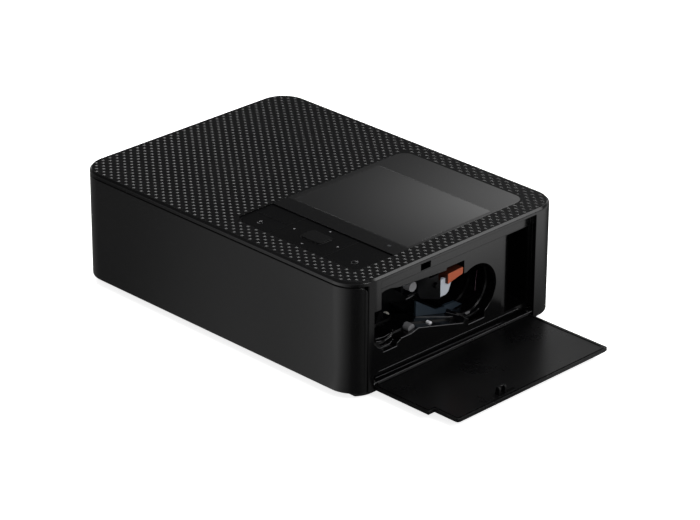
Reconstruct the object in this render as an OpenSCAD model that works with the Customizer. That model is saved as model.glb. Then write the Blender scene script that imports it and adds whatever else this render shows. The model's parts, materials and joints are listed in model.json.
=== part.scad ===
// Compact photo printer with a fold-down front cover and an ink door on its right side.
// Millimetres. X runs along the long front, Y to the back, Z up; the origin is on the
// floor below the middle of the case. The ink door lies open, as at joint value 0.

/* [Case] */
// Width of the case along its front
body_w = 182.2; // [180:0.2:188]
// Depth of the case from front to back
body_d = 133; // [132:0.5:137]
// Height of the case above the floor
body_h = 57.6; // [57.2:0.2:60]
// Radius of the upright corners
corner_r = 13.85; // [13:0.05:15]
// Thickness of the case walls
wall = 2.2; // [1.9:0.1:2.3]
// Chamfer round the top edge
rim_chamfer = 1.0; // [0.6:0.1:1.2]
// Thickness of the top under the deck
ceiling_t = 2.0; // [1.6:0.1:2.2]
// Thickness of the textured deck
deck_t = 1.0; // [0.8:0.1:1.2]
// Height of the lower edge of the walls
skirt_z = 3.6; // [3.4:0.1:3.8]
// How far the feet stand below the base
foot_drop = 0.8; // [0.5:0.1:1]
// Thickness of the base floor
floor_t = 2.0; // [1.7:0.1:2.2]
// Radius of a rubber foot
foot_r = 7; // [5:0.5:8]

/* [Front cover] */
// Thickness of the cover
cover_t = 2.2; // [1.8:0.1:2.3]
// Height of the rim band left above the cover
rim_h = 2.6; // [2.2:0.1:3]
// How far the cover wraps back along each side
cover_wrap = 9.0; // [8:0.1:9]
// Running gap round the cover
cover_gap = 0.4; // [0.3:0.05:0.5]
// Depth of the hinge axis behind the front face
cover_axis_in = 4.5; // [4.4:0.1:4.6]
// Height of the hinge axis
cover_axis_z = 5.0; // [4.9:0.1:5.2]
// Distance of each hinge lug from the middle
cover_lug_x = 72; // [66:0.5:74]

/* [Ink door] */
// Thickness of the door
door_t = 2.0; // [1.6:0.1:2.1]
// Front end of the door
door_front_y = -53.6; // [-54:0.1:-53]
// Front end of the door's narrower outer part
door_step_y = -49.8; // [-50.5:0.1:-49]
// Back end of the door
door_back_y = 48.3; // [47.5:0.1:48.6]
// Depth of the hinge axis inside the right face
door_axis_in = 2.625; // [2.6:0.025:2.7]
// Height of the hinge axis
door_axis_z = 6.175; // [6.1:0.025:6.3]
// Reach of the door beyond its axis
door_reach = 48.8; // [48:0.1:48.9]
// Distance from the axis to the step
door_step = 34.9; // [34:0.1:35.2]
// Tail of the door on the other side of its axis
door_tail = 2.5; // [2:0.1:2.6]
// Radius of the hinge pins
hinge_pin_r = 0.75; // [0.6:0.05:0.8]

/* [Ink bay] */
// Depth of the bay panel behind the right face
panel_in = 4.0; // [3.8:0.1:4.2]
// Thickness of the bay panel
panel_t = 2.0; // [1.6:0.1:2.2]
// Front spool lobe, centre depth
front_lobe_y = -40.2; // [-40.5:0.1:-40]
// Front spool lobe, centre height
front_lobe_z = 31; // [30.5:0.1:31.5]
// Front spool lobe, radius
front_lobe_r = 12.4; // [12:0.1:12.5]
// Rear spool lobe, centre depth
rear_lobe_y = 14.6; // [14.2:0.1:15]
// Rear spool lobe, centre height
rear_lobe_z = 27.5; // [27.3:0.1:28]
// Rear spool lobe, radius
rear_lobe_r = 13.1; // [12.6:0.1:13.2]
// Wall of the tunnel behind the mouth
tunnel_t = 1.2; // [1:0.1:1.3]
// Height of each step in the tunnel
tunnel_step = 0.7; // [0.4:0.1:0.8]
// Depth of the side pocket
pocket_deep = 13; // [8:0.5:14]
// Rounding of the pocket's front edge
pocket_round = 3.4; // [2:0.2:3.6]

/* [Controls] */
// Left edge of the control fascia
fascia_x0 = 2.5; // [2:0.5:4]
// Right edge of the control fascia
fascia_x1 = 79.3; // [79:0.1:80]
// Front edge of the control fascia
fascia_y0 = -54.5; // [-55:0.1:-54.2]
// Back edge of the control fascia
fascia_y1 = 55; // [50:0.5:57]
// Corner radius of the fascia
fascia_r = 6; // [4:0.5:7]
// Width of the screen window
window_w = 71.5; // [70:0.1:72]
// Depth of the screen window
window_d = 54.5; // [53:0.1:55]
// Sink of the key zone below the top
key_sink = 0.5; // [0.2:0.1:0.7]
// Gap round each key
key_gap = 0.2; // [0.15:0.05:0.3]
// Travel of a key
key_travel = 0.4; // [0.3:0.05:0.45]

/* [Drive] */
// Half the distance between the side plates
frame_half = 58; // [56:0.5:59]
// Thickness of the steel plates
plate_t = 1.0; // [0.8:0.1:1.2]
// Gear module
gear_m = 0.6; // [0.6]
// Face width of the gears
gear_w = 4; // [3:0.5:4.5]
// Radius of the platen
platen_r = 5; // [4.8:0.1:5.1]
// Radius of the capstan
capstan_r = 4; // [3.5:0.1:4.1]
// Radius of the pinch roller
pinch_r = 2.4; // [2:0.1:2.4]
// Radius of the pickup tyres
pickup_r = 3.9; // [3.5:0.1:4]
// Thickness of a photo card
paper_t = 0.25; // [0.2:0.05:0.3]
// Width of a photo card
paper_w = 100; // [98:0.5:101]
// Radial clearance of a shaft in its bearing
fit = 0.05; // [0.03:0.01:0.08]

/* [Hidden] */
$fn = 48;
eps = 0.01;

half_w = body_w / 2;
half_d = body_d / 2;
ceiling_z = body_h - deck_t - ceiling_t;
seat_z = body_h - deck_t;
floor_z = foot_drop + floor_t;
cover_top_z = body_h - rim_h - cover_gap;
cover_end_y = -half_d + cover_wrap;
cover_axis_y = -half_d + cover_axis_in;
frame_y = cover_axis_y + 2;
frame_t = 1.8;
door_axis_x = half_w - door_axis_in;
door_open_z = door_axis_z - door_axis_in;
door_edge_gap = 0.5;
recess_front_y = door_front_y - door_edge_gap;
recess_step_y = door_step_y - 0.2;
recess_step_z = door_axis_z + door_step + 0.6;
recess_back_y = door_back_y + 1;
recess_top_z = body_h - rim_h + 0.3;
panel_x = half_w - panel_in;
band_x = panel_x + 0.5;
band_z = 49.5;
plate_out = frame_half + plate_t;

// Gear train, in depth and height
platen = [-15.4, 14.6];
platen_teeth = 20;
pickup_teeth = 19;
front_idler_teeth = 29;
rear_idler_teeth = 30;
capstan_teeth = 20;
pinion_teeth = 12;
ribbon_teeth = 10;
take_up_teeth = 36;
train_angle = -1.8;
pickup_angle = 171;
pinion_angle = 100;
ribbon_angle = 8;
function mesh_distance(a, b) = gear_m * (a + b) / 2;
function polar(r, a) = [r * cos(a), r * sin(a)];
pickup = platen + polar(mesh_distance(platen_teeth, pickup_teeth), pickup_angle);
front_idler_at = platen + polar(mesh_distance(platen_teeth, front_idler_teeth), train_angle);
rear_idler_at = front_idler_at + polar(mesh_distance(front_idler_teeth, rear_idler_teeth), train_angle);
capstan = rear_idler_at + polar(mesh_distance(rear_idler_teeth, capstan_teeth), train_angle);
pinion_at = rear_idler_at + polar(mesh_distance(rear_idler_teeth, pinion_teeth), pinion_angle);
take_up = [front_lobe_y, front_lobe_z];
supply = [rear_lobe_y, rear_lobe_z];
ribbon_at = take_up + polar(mesh_distance(take_up_teeth, ribbon_teeth), ribbon_angle);
pinch = capstan - [0, capstan_r + paper_t + pinch_r];
gear_x = -plate_out - 1.4;
bracket_x = gear_x - gear_w - 1.8;
shaft_r = 2;
pinch_shaft_r = 1.2;
stud_r = 1.5;
bush_r = 3;
head_pivot = [-24.3, 26];
rod_r = 1.5;

// Keys: left, front, right and back edges
key_front_y = fascia_y0 + 1.1;
key_back_y = -30.8;
cursor_x0 = 24.8;
cursor_x1 = 58;
menu_split_y = -41.4;
ok_box = [35.2, -46.3, 48.8, -36.7];
key_top_z = body_h - key_sink;
key_board_z = ceiling_z - 2.8;
window_x0 = 6;
window_y0 = -20.5;

// Eject lever
lever_pivot = [66, 41.2];
lever_y0 = -4.6;
lever_y1 = 5.4;

// Places of the case screws
screw_posts = [[-80, -51], [-80, 54], [80, 56]];
panel_post = [78, -49];

module along_x(x0, x1) translate([x0, 0, 0]) rotate([90, 0, 90]) linear_extrude(x1 - x0) children();
module along_y(y0, y1) translate([0, y1, 0]) rotate([90, 0, 0]) linear_extrude(y1 - y0) children();
module upright(z0, z1) translate([0, 0, z0]) linear_extrude(z1 - z0) children();
module block(low, high) translate(low) cube(high - low);
module x_rod(at, r, x0, x1) translate([x0, at.x, at.y]) rotate([0, 90, 0]) cylinder(h = x1 - x0, r = r);
module y_rod(x, z, r, y0, y1) translate([x, y1, z]) rotate([90, 0, 0]) cylinder(h = y1 - y0, r = r);

// A rectangle from one corner to the other, with round corners
module round_rect(low, high, r) {
    translate([low.x + r, low.y]) square([high.x - low.x - 2 * r, high.y - low.y]);
    translate([low.x, low.y + r]) square([high.x - low.x, high.y - low.y - 2 * r]);
    for (x = [low.x + r, high.x - r], y = [low.y + r, high.y - r]) translate([x, y]) circle(r);
}

// The outline of the case, drawn in by a distance
module case_outline(inset) {
    at = [half_w - inset, half_d - inset];
    round_rect(-at, at, corner_r - inset);
}

// A slab with the outline of the case, whose sides lean from one inset to another
module leaning_slab(z0, z1, low_inset, high_inset) {
    reach = [half_w - corner_r, half_d - corner_r];
    for (sx = [-1, 1], sy = [-1, 1])
        translate([sx * reach.x, sy * reach.y, z0])
            cylinder(h = z1 - z0, r1 = corner_r - low_inset, r2 = corner_r - high_inset);
    along_x(-reach.x, reach.x) leaning_side(half_d, z0, z1, low_inset, high_inset);
    along_y(-reach.y, reach.y) leaning_side(half_w, z0, z1, low_inset, high_inset);
}

module leaning_side(half, z0, z1, a, b)
    polygon([[a - half, z0], [half - a, z0], [half - b, z1], [b - half, z1]]);

// Base pan
module base_pan() color("#1d1e20") {
    difference() {
        leaning_slab(foot_drop, skirt_z - 0.2, 3.2, 0.8);
        upright(floor_z, skirt_z) case_outline(5);
        block([-half_w, -half_d, 0], [half_w, frame_y, skirt_z]);
        y_rod(door_axis_x, door_axis_z, door_axis_in * 1.55, door_front_y - 3, door_back_y + 3);
        for (at = foot_places()) translate([at.x, at.y, 0]) cylinder(h = foot_drop + 0.9, r = foot_r + 0.2);
        for (at = concat(screw_posts, [panel_post])) translate([at.x, at.y, 0]) screw_hole();
        base_vents();
    }
}

function foot_places() = [for (x = [-1, 1], y = [-1, 1]) [x * 68, y * 42 - 4]];

module screw_hole() {
    cylinder(h = foot_drop + 1, r = 3.1);
    cylinder(h = floor_z + 1, r = 1.7);
}

module base_vents()
    for (k = [0:6]) upright(0, floor_z + 1) round_rect([k * 6 - 19.2, 30], [k * 6 - 16.8, 48], 1.1);

module rubber_feet() color("#2a2a2a")
    for (at = foot_places()) translate([at.x, at.y, 0]) {
        translate([0, 0, 0.6]) cylinder(h = foot_drop + 0.3, r = foot_r);
        cylinder(h = 0.6, r1 = foot_r - 0.6, r2 = foot_r);
    }

module case_screws() color("#8d9094")
    for (at = concat(screw_posts, [panel_post])) translate([at.x, at.y, foot_drop + 0.2]) difference() {
        union() {
            translate([0, 0, -0.1]) cylinder(h = 0.9, r = 2.7);
            cylinder(h = 7, r = 1.1);
        }
        rotate(45) translate([-1.6, -0.3, -0.2]) cube([3.2, 0.6, 0.7]);
        translate([-1.6, -0.3, -0.2]) cube([3.2, 0.6, 0.7]);
    }

// Case shell
module case_shell() color("#2b2c2f") difference() {
    union() {
        difference() {
            union() {
                upright(skirt_z, body_h - rim_chamfer) case_outline(0);
                leaning_slab(body_h - rim_chamfer, body_h, 0, rim_chamfer);
            }
            upright(skirt_z - 1, ceiling_z) case_outline(wall);
            cover_cutaway();
            door_cutaway();
        }
        screw_bosses();
        board_posts();
        for (y = [recess_front_y - 2.2, recess_back_y]) door_bearing(y);
    }
    upright(seat_z, body_h + 1) case_outline(rim_chamfer + 0.15);
    top_openings();
    left_sockets();
    rear_openings();
    for (at = screw_posts) translate([at.x, at.y, 0]) cylinder(h = foot_drop + 9, r = 1.1 + fit);
    y_rod(door_axis_x, door_axis_z, hinge_pin_r + fit, recess_front_y - 1.9, recess_front_y + 1);
    y_rod(door_axis_x, door_axis_z, hinge_pin_r + fit, recess_back_y - 1, recess_back_y + 1.9);
}

module cover_cutaway()
    block([-half_w - 1, -half_d - 1, 0], [half_w + 1, cover_end_y + cover_gap, cover_top_z + cover_gap]);

module door_cutaway() {
    block([half_w - wall - 1, recess_step_y, 0], [half_w + 1, recess_back_y, recess_top_z]);
    block([half_w - wall - 1, recess_front_y, 0], [half_w + 1, recess_back_y, recess_step_z]);
}

module door_bearing(y) {
    y_rod(door_axis_x, door_axis_z, 2, y, y + 2.2);
    block([door_axis_x, y, door_axis_z - 2], [half_w - wall + 0.5, y + 2.2, door_axis_z + 2]);
}

module screw_bosses()
    for (at = screw_posts) translate([at.x, at.y, floor_z]) cylinder(h = ceiling_z - floor_z + eps, r = 3);

function board_corners() = [[-82, -14], [-82, 46], [-8, -14], [-8, 46]];
function key_board_corners() = [[10, -55.3], [72, -55.3], [8, -28.7], [74, -28.7]];

module board_posts() {
    for (at = board_corners()) translate([at.x, at.y, ceiling_z - 3]) cylinder(h = 3 + eps, r = 2.5);
    for (at = key_board_corners()) translate([at.x, at.y, key_board_z])
        cylinder(h = ceiling_z - key_board_z + eps, r = 1.2);
}

module top_openings() {
    upright(ceiling_z - 1, body_h) {
        translate([window_x0 + 1.5, window_y0 + 1.5]) square([window_w - 3, window_d - 3]);
        key_outlines(key_gap);
        translate([71, -25]) circle(1);
    }
}

module left_sockets() {
    block([-half_w - 1, 0.6, 47.3], [-half_w + wall + 1, 25.4, 49.5]);
    block([-half_w - 1, 34.8, 44], [-half_w + wall + 1, 47.7, 49.3]);
    along_x(-half_w - 1, -half_w + wall + 1) round_rect([-12.2, 46.5], [-2.8, 49.9], 1.5);
}

module rear_openings() {
    block([-paper_w / 2 - 3, half_d - wall - 1, exit_z - 1.6], [paper_w / 2 + 3, half_d + 1, exit_z + 4.2]);
    for (k = [-3:3]) along_y(half_d - wall - 1, half_d + 1)
        round_rect([fan_at.x - 14, fan_at.z + 4.4 * k - 1.1], [fan_at.x + 14, fan_at.z + 4.4 * k + 1.1], 1);
    y_rod(inlet_at.x, inlet_at.y, 3.4, half_d - wall - 1, half_d + 1);
}

exit_z = 9;
fan_at = [38, half_d - wall - 5, 35];
inlet_at = [-72, 14];

// Front frame behind the cover
module front_frame() color("#202124") difference() {
    union() {
        intersection() {
            upright(skirt_z, ceiling_z) difference() {
                case_outline(wall + 0.5);
                case_outline(wall + 0.5 + frame_t);
            }
            block([-half_w, frame_y, 0], [half_w, cover_end_y + cover_gap + 0.4, body_h]);
        }
        intersection() {
            upright(skirt_z, ceiling_z) case_outline(wall + 0.5);
            block([-half_w, frame_y, 0], [half_w, frame_y + frame_t, body_h]);
        }
        for (side = [-1, 1], out = [-3.3, 3.3]) cover_ear(side * cover_lug_x + out);
    }
    block([-bay_half, frame_y - 1, bay_z0], [bay_half, frame_y + 5, bay_z1]);
    x_rod([cover_axis_y, cover_axis_z], 1 + fit, -half_w, half_w);
}

bay_half = frame_half - 4.8;
bay_z0 = 3.9;
bay_z1 = 16.2;

module cover_ear(x) along_x(x - 0.9, x + 0.9) {
    translate([cover_axis_y, cover_axis_z]) circle(2);
    translate([cover_axis_y, cover_axis_z - 1.4]) square([frame_y + 0.5 - cover_axis_y, 3.4]);
}

// Front cover, a shell that wraps both corners
module front_cover() color("#232427") {
    difference() {
        intersection() {
            upright(skirt_z, cover_top_z) difference() {
                case_outline(0);
                case_outline(cover_t);
            }
            cover_sides();
        }
        for (side = [-1, 1], out = [-3.3, 3.3])
            x_rod([cover_axis_y, cover_axis_z], 2.3, side * cover_lug_x + out - 1.2, side * cover_lug_x + out + 1.2);
    }
    for (side = [-1, 1]) cover_lug(side * cover_lug_x);
    for (x = [-60:20:60]) along_x(x - 0.6, x + 0.6)
        polygon([[cover_in_y - eps, 22], [cover_in_y + 1.4, 24], [cover_in_y + 1.4, 46], [cover_in_y - eps, 48]]);
}

cover_in_y = -half_d + cover_t;

module cover_sides() {
    corner = 3;
    block([-half_w, -half_d, 0], [half_w, cover_end_y, cover_top_z - corner]);
    block([-half_w, -half_d, 0], [half_w, cover_end_y - corner, body_h]);
    x_rod([cover_end_y - corner, cover_top_z - corner], corner, -half_w, half_w);
}

module cover_lug(x) {
    along_x(x - 2.1, x + 2.1) {
        translate([cover_axis_y, cover_axis_z]) circle(1.7);
        translate([cover_in_y - eps, skirt_z]) square([cover_axis_y - cover_in_y, cover_axis_z + 1.7 - skirt_z]);
    }
    x_rod([cover_axis_y, cover_axis_z], 1, x - 4.2, x + 4.2);
}

// Ink door, drawn open and level
module ink_door() color("#202124") {
    difference() {
        union() {
            upright(door_open_z, door_open_z + door_t) door_outline(0);
            upright(door_open_z + door_t - eps, door_open_z + door_t + 0.3) difference() {
                door_outline(0.9);
                door_outline(1.9);
            }
        }
        upright(door_open_z - 1, door_open_z + 0.5) difference() {
            door_outline(-1);
            door_outline(0.4);
        }
    }
    door_bead();
    for (y = [door_front_y, door_back_y - 1.8]) door_ear(y);
    y_rod(door_axis_x, door_axis_z, hinge_pin_r, recess_front_y - 1.6, door_front_y + 0.5);
    y_rod(door_axis_x, door_axis_z, hinge_pin_r, door_back_y - 0.5, recess_back_y + 1.6);
    door_latch();
}

module door_outline(inset) {
    low = door_axis_x - door_tail + inset;
    high = door_axis_x + door_reach - inset;
    step = door_axis_x + door_step - inset;
    front = door_front_y + inset;
    back = door_back_y - inset;
    r = 1.5;
    translate([low, front]) square([step - low, back - front]);
    translate([low, door_step_y + inset]) square([high - r - low, back - door_step_y - inset]);
    translate([low, door_step_y + inset + r]) square([high - low, back - door_step_y - inset - 2 * r]);
    for (y = [door_step_y + inset + r, back - r]) translate([high - r, y]) circle(r);
}

module door_bead() {
    top = door_open_z + door_t;
    block([door_axis_x + 1.3, door_front_y + 2, top - eps], [door_axis_x + 2.5, door_back_y - 2, top + 0.4]);
    y_rod(door_axis_x + 1.9, top + 0.4, 0.6, door_front_y + 2, door_back_y - 2);
}

module door_ear(y) {
    y_rod(door_axis_x, door_axis_z, 1.3, y, y + 1.8);
    block([door_axis_x - 1.3, y, door_open_z], [door_axis_x + 1.3, y + 1.8, door_axis_z]);
}

latch_y = [-21.2, -16.6];
latch_z = [50.7, 52.7];
latch_reach = 3.9;

module door_latch() {
    top = door_open_z + door_t;
    x0 = door_axis_x + latch_z[0] - door_axis_z;
    x1 = door_axis_x + latch_z[1] - door_axis_z;
    for (y = [latch_y[0], latch_y[1] - 1]) along_y(y, y + 1)
        polygon([[x0 - 1, top - eps], [x1, top - eps], [x1, top + latch_reach - 0.8],
                 [x1 - 0.8, top + latch_reach], [x0, top + latch_reach]]);
    block([x0, latch_y[0], top + latch_reach - 1.2], [x0 + 0.9, latch_y[1], top + latch_reach]);
}

// Top deck and controls
module deck_plate() color("#303236") upright(seat_z, body_h) difference() {
    case_outline(rim_chamfer + 0.2);
    round_rect([fascia_x0 - 0.1, fascia_y0 - 0.1], [fascia_x1 + 0.1, fascia_y1 + 0.1], fascia_r + 0.1);
}

module control_fascia() color("#151618") difference() {
    upright(seat_z, body_h) round_rect([fascia_x0, fascia_y0], [fascia_x1, fascia_y1], fascia_r);
    upright(seat_z - 1, body_h + 1) {
        translate([window_x0, window_y0]) square([window_w, window_d]);
        key_outlines(key_gap);
        translate([71, -25]) circle(0.95);
    }
    block([fascia_x0 - 1, fascia_y0 - 1, key_top_z], [fascia_x1 + 1, key_back_y + key_gap, body_h + 1]);
}

module lcd_window() color([0.25, 0.26, 0.28, 0.8]) upright(seat_z, body_h - 0.05)
    translate([window_x0 + 0.05, window_y0 + 0.05]) square([window_w - 0.1, window_d - 0.1]);

module lcd_panel() color("#3a3d42") {
    block([window_x0 - 2.5, window_y0 - 3.5, ceiling_z - 3.4], [window_x0 + window_w + 2.5, window_y0 + window_d + 4, ceiling_z]);
    block([window_x0 + 2, window_y0 + 2, ceiling_z - eps], [window_x0 + window_w - 2, window_y0 + window_d - 2, seat_z - 0.1]);
}

module indicator_lens() color("#9fb6c9") {
    translate([71, -25, ceiling_z + 0.4]) cylinder(h = body_h - 0.1 - ceiling_z - 0.4, r = 0.9);
    translate([71, -25, key_board_z + 0.2]) cylinder(h = ceiling_z + 0.5 - key_board_z - 0.2, r = 0.7);
}

// The outlines of the keys, grown by a gap
module key_outlines(gap) {
    menu_outline(gap);
    back_outline(gap);
    cursor_outline(gap);
    power_outline(gap);
}

key_r = 4.9;

module menu_outline(gap) key_rect([fascia_x0 + 1.1, menu_split_y + 0.4], [cursor_x0 - 1, key_back_y], gap);
module back_outline(gap) key_corner([fascia_x0 + 1.1, key_front_y], [cursor_x0 - 1, menu_split_y - 0.4], gap, 0);
module cursor_outline(gap) key_rect([cursor_x0, key_front_y], [cursor_x1, key_back_y], gap);
module power_outline(gap) key_corner([cursor_x1 + 1, key_front_y], [fascia_x1 - 1, key_back_y], gap, 1);

module key_rect(low, high, gap)
    translate(low - [gap, gap]) square(high - low + [2 * gap, 2 * gap]);

// A key whose front corner on one side follows the fascia's corner
module key_corner(low, high, gap, side) {
    at = [side ? high.x - key_r : low.x + key_r, low.y + key_r];
    translate(at) circle(key_r + gap);
    translate([low.x - gap, at.y]) square([high.x - low.x + 2 * gap, high.y + gap - at.y]);
    translate([side ? low.x - gap : at.x, low.y - gap])
        square([high.x - low.x - key_r + gap, key_r + 2 * gap]);
}

module key_stem(at, foot) translate([at.x, at.y, foot]) cylinder(h = ceiling_z + 1 - foot, r = 1.6);

stem_z = key_board_z + 1 + key_travel + 0.1;
cap_z = ceiling_z + key_travel + 0.2;

module menu_key() color("#1a1b1d") {
    upright(cap_z, key_top_z) menu_outline(0);
    key_stem([13.5, -36], stem_z);
}

module back_key() color("#1a1b1d") {
    upright(cap_z, key_top_z) back_outline(0);
    key_stem([13.5, -47.5], stem_z);
}

module cursor_key() color("#1a1b1d") {
    upright(cap_z, key_top_z) difference() {
        cursor_outline(0);
        round_rect([ok_box[0] - key_gap, ok_box[1] - key_gap], [ok_box[2] + key_gap, ok_box[3] + key_gap], 2.2);
    }
    for (at = cursor_stems()) key_stem(at, stem_z);
}

function cursor_stems() = [[28.5, -41.5], [54.5, -41.5], [41.5, -50.5], [41.5, -33]];
ok_at = [(ok_box[0] + ok_box[2]) / 2, (ok_box[1] + ok_box[3]) / 2];

module ok_key() color("#1f2023") {
    upright(cap_z, body_h - 0.5) round_rect([ok_box[0], ok_box[1]], [ok_box[2], ok_box[3]], 2);
    upright(body_h - 0.5 - eps, body_h) round_rect([ok_box[0] + 0.5, ok_box[1] + 0.5], [ok_box[2] - 0.5, ok_box[3] - 0.5], 1.6);
    key_stem(ok_at, stem_z);
}

module power_key() color("#1a1b1d") {
    upright(cap_z, key_top_z) power_outline(0);
    key_stem([69, -45], stem_z);
}

function stem_places() = concat([[13.5, -36], [13.5, -47.5], ok_at, [69, -45]], cursor_stems());

module key_board() color("#1f5a3a") {
    block([4, -57, key_board_z - 1.2], [78, -27, key_board_z]);
    for (at = stem_places()) translate([at.x, at.y, key_board_z - eps]) {
        cylinder(h = 0.5, r = 2.6);
        cylinder(h = 1, r = 1.4);
    }
}

// Boards and sockets
board_z = ceiling_z - 3;

module main_board() color("#1f5a3a") {
    difference() {
        block([-86, -18, board_z - 1.6], [-4, 50, board_z]);
        for (at = board_corners()) translate([at.x, at.y, board_z - 3]) cylinder(h = 4, r = 1.5);
    }
    for (k = [0:2]) block([-60 + 18 * k, -8 + 9 * k, board_z - eps], [-48 + 18 * k, 4 + 9 * k, board_z + 1.4]);
}

module card_reader() color("#b4b7ba") difference() {
    block([-half_w + wall + 0.2, 0, board_z - 4.8], [-62, 26, board_z - 1.6]);
    block([-half_w + wall - 1, 0.8, board_z - 4.2], [-64, 25.2, board_z - 2.2]);
}

module large_data_socket() color("#b4b7ba") difference() {
    block([-half_w + wall + 0.2, 34, board_z - 8.6], [-74, 48.5, board_z - 1.6]);
    block([-half_w + wall - 1, 34.8, board_z - 7.8], [-76, 47.7, board_z - 2.4]);
}

module small_data_socket() color("#b4b7ba") {
    difference() {
        along_x(-half_w + wall + 0.2, -81) round_rect([-12, board_z - 5], [-3, board_z - 1.6], 1.4);
        along_x(-half_w + wall - 1, -82.5) round_rect([-11.6, board_z - 4.6], [-3.4, board_z - 2], 1.2);
    }
    block([-83, -10.5, board_z - 3.6], [-half_w + wall + 1.5, -4.5, board_z - 3]);
}

module power_inlet() color("#1b1b1b") {
    back = half_d - wall - 0.2;
    difference() {
        block([inlet_at.x - 5, back - 13, skirt_z + 0.2], [inlet_at.x + 5, back, inlet_at.y + 5.5]);
        y_rod(inlet_at.x, inlet_at.y, 2.8, back - 10, back + 1);
    }
    y_rod(inlet_at.x, inlet_at.y, 0.8, back - 11, back - 1);
}

// The mouth of the ink bay, in depth and height, grown or drawn in by a distance
module mouth(grow) {
    translate([front_lobe_y, front_lobe_z]) circle(front_lobe_r + grow);
    translate([rear_lobe_y, rear_lobe_z]) circle(rear_lobe_r + grow);
    polygon([for (p = mouth_points()) [p[0] + p[2] * grow, p[1] + p[3] * grow]]);
}

// Depth, height, and the way each point moves when the mouth grows
function mouth_points() = [
    [front_lobe_y - front_lobe_r, front_lobe_z, -1, 0], [front_lobe_y - front_lobe_r, 39.3, -1, 1],
    [-48.5, 39.3, -1, 1], [-48.5, 46.2, -1, 1], [-44, 47.4, 0, 1], [-40.5, 47.4, 0, 1],
    [-35.5, 46.2, 0, 1], [-20, 45.2, 0, 1], [lever_y0 - 0.4, 44.2, -1, 1], [lever_y0 - 0.4, notch_z, -1, 1],
    [lever_y1 + 0.9, notch_z, 1, 1], [lever_y1 + 0.9, 38.9, 1, 1], [rear_lobe_y, 38.9, 0, 0],
    [rear_lobe_y, rear_lobe_z, 0, 0], [6.5, 14.3, -0.2, -1], [-22.5, 22, 0, -1], [-27, 20.8, 0, -1],
    [-33.5, 20.8, -1, -1], [front_lobe_y, front_lobe_z, 0, 0]
];
notch_z = 45.4;

// Small flats under each lobe, only in the face of the panel
module mouth_flats() {
    translate([front_lobe_y - 4.3, 17.8]) square([8.5, 6]);
    translate([rear_lobe_y - 4.6, 12.4]) square([10.5, 8]);
}

tunnel_x0 = plate_out + 0.3;
step_x = [panel_x - 5.8, panel_x - 15.8];

// Panel of the ink bay with its tunnel, pocket and slots
module ink_bay_panel() color("#2a2b2e") {
    difference() {
        union() {
            panel_plate();
            along_x(tunnel_x0, panel_x - panel_t + eps) mouth(tunnel_t);
        }
        along_x(step_x[0], panel_x + 2) mouth(0);
        along_x(step_x[1] - eps, step_x[0] + eps) mouth(-tunnel_step);
        along_x(tunnel_x0 - 1, step_x[1]) mouth(-2 * tunnel_step);
        along_x(panel_x - panel_t - 1.4, panel_x + 2) mouth_flats();
        lip_studs(0.3);
        y_rod(lever_pivot.x, lever_pivot.y, 1.2 + fit, lever_y0 - 1, lever_y1 + 0.95);
        block([tunnel_x0 - 1, -24, 0], [step_x[1], 8.5, 30]);
        block([panel_x - panel_t - 1, latch_y[0] - 0.8, latch_z[0] - 0.9], [band_x + 1, latch_y[1] + 0.8, latch_z[1] + 0.6]);
        block([panel_x - panel_t - 1, pocket_y0, pocket_z0], [band_x + 1, pocket_y1, pocket_z1]);
    }
    side_pocket();
    lever_ears();
    panel_boss();
}

pocket_y0 = 35 - pocket_round;
pocket_y1 = 48.4;
pocket_z0 = 10.4;
pocket_z1 = 48.8;
panel_z0 = 7.2;

module panel_plate() {
    x0 = panel_x - panel_t;
    lower_z1 = recess_step_z - 0.3;
    block([x0, door_front_y - 0.3, panel_z0], [panel_x, recess_back_y - 0.1, band_z]);
    block([x0, door_front_y - 2.5, 9.2], [panel_x, recess_back_y + 2, band_z]);
    block([x0, door_front_y - 2.5, band_z - eps], [band_x, recess_back_y + 2, ceiling_z]);
    intersection() {
        upright(9.2, ceiling_z) case_outline(wall + 0.1);
        for (y = [[door_front_y - 2.5, door_front_y - 0.7], [recess_back_y + 0.1, recess_back_y + 2]])
            block([panel_x - eps, y[0], 9.2], [half_w, y[1], ceiling_z]);
    }
    intersection() {
        upright(9.2, ceiling_z) case_outline(wall + 0.1);
        block([panel_x - eps, door_front_y - 2.5, lower_z1 + 0.5], [half_w, recess_step_y - 0.2, ceiling_z]);
    }
    block([panel_x - 0.3, door_front_y - 0.3, panel_z0], [panel_x + 0.25, pocket_y0, 11]);
}

// Deep pocket whose front edge rolls inwards
module side_pocket() {
    t = 1.2;
    back_x = panel_x - pocket_deep;
    wall_y = pocket_y0 + pocket_round;
    upright(pocket_z0 - t, pocket_z1 + t) {
        difference() {
            translate([panel_x - pocket_round, pocket_y0 - 0.3]) square([pocket_round, pocket_round + 0.3]);
            translate([panel_x + eps, wall_y]) square([1, 1]);
            difference() {
                translate([panel_x - pocket_round, pocket_y0]) square([pocket_round + 1, pocket_round + 1]);
                translate([panel_x - pocket_round, pocket_y0]) circle(pocket_round);
            }
        }
        translate([back_x - t, wall_y - t]) square([pocket_deep - pocket_round + t, t]);
        translate([back_x - t, wall_y - t]) square([t, pocket_y1 - wall_y + 2 * t]);
        translate([back_x - t, pocket_y1]) square([pocket_deep - panel_t + t + eps, t]);
    }
    for (z = [pocket_z0 - t, pocket_z1])
        block([back_x - t, wall_y - t, z], [panel_x - panel_t + eps, pocket_y1 + t, z + t]);
}

module lever_ears()
    for (y = [[lever_y0 - 0.3, lever_y0 + 0.9], [lever_y1 - 0.9, lever_y1 + 0.9]]) difference() {
        block([lever_pivot.x - 2.8, y[0], lever_pivot.y - 2.8], [lever_pivot.x + 2.8, y[1], notch_z + 0.4]);
        y_rod(lever_pivot.x, lever_pivot.y, 1.2 + fit, y[0] - 1, y[1] + 1);
    }

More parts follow.
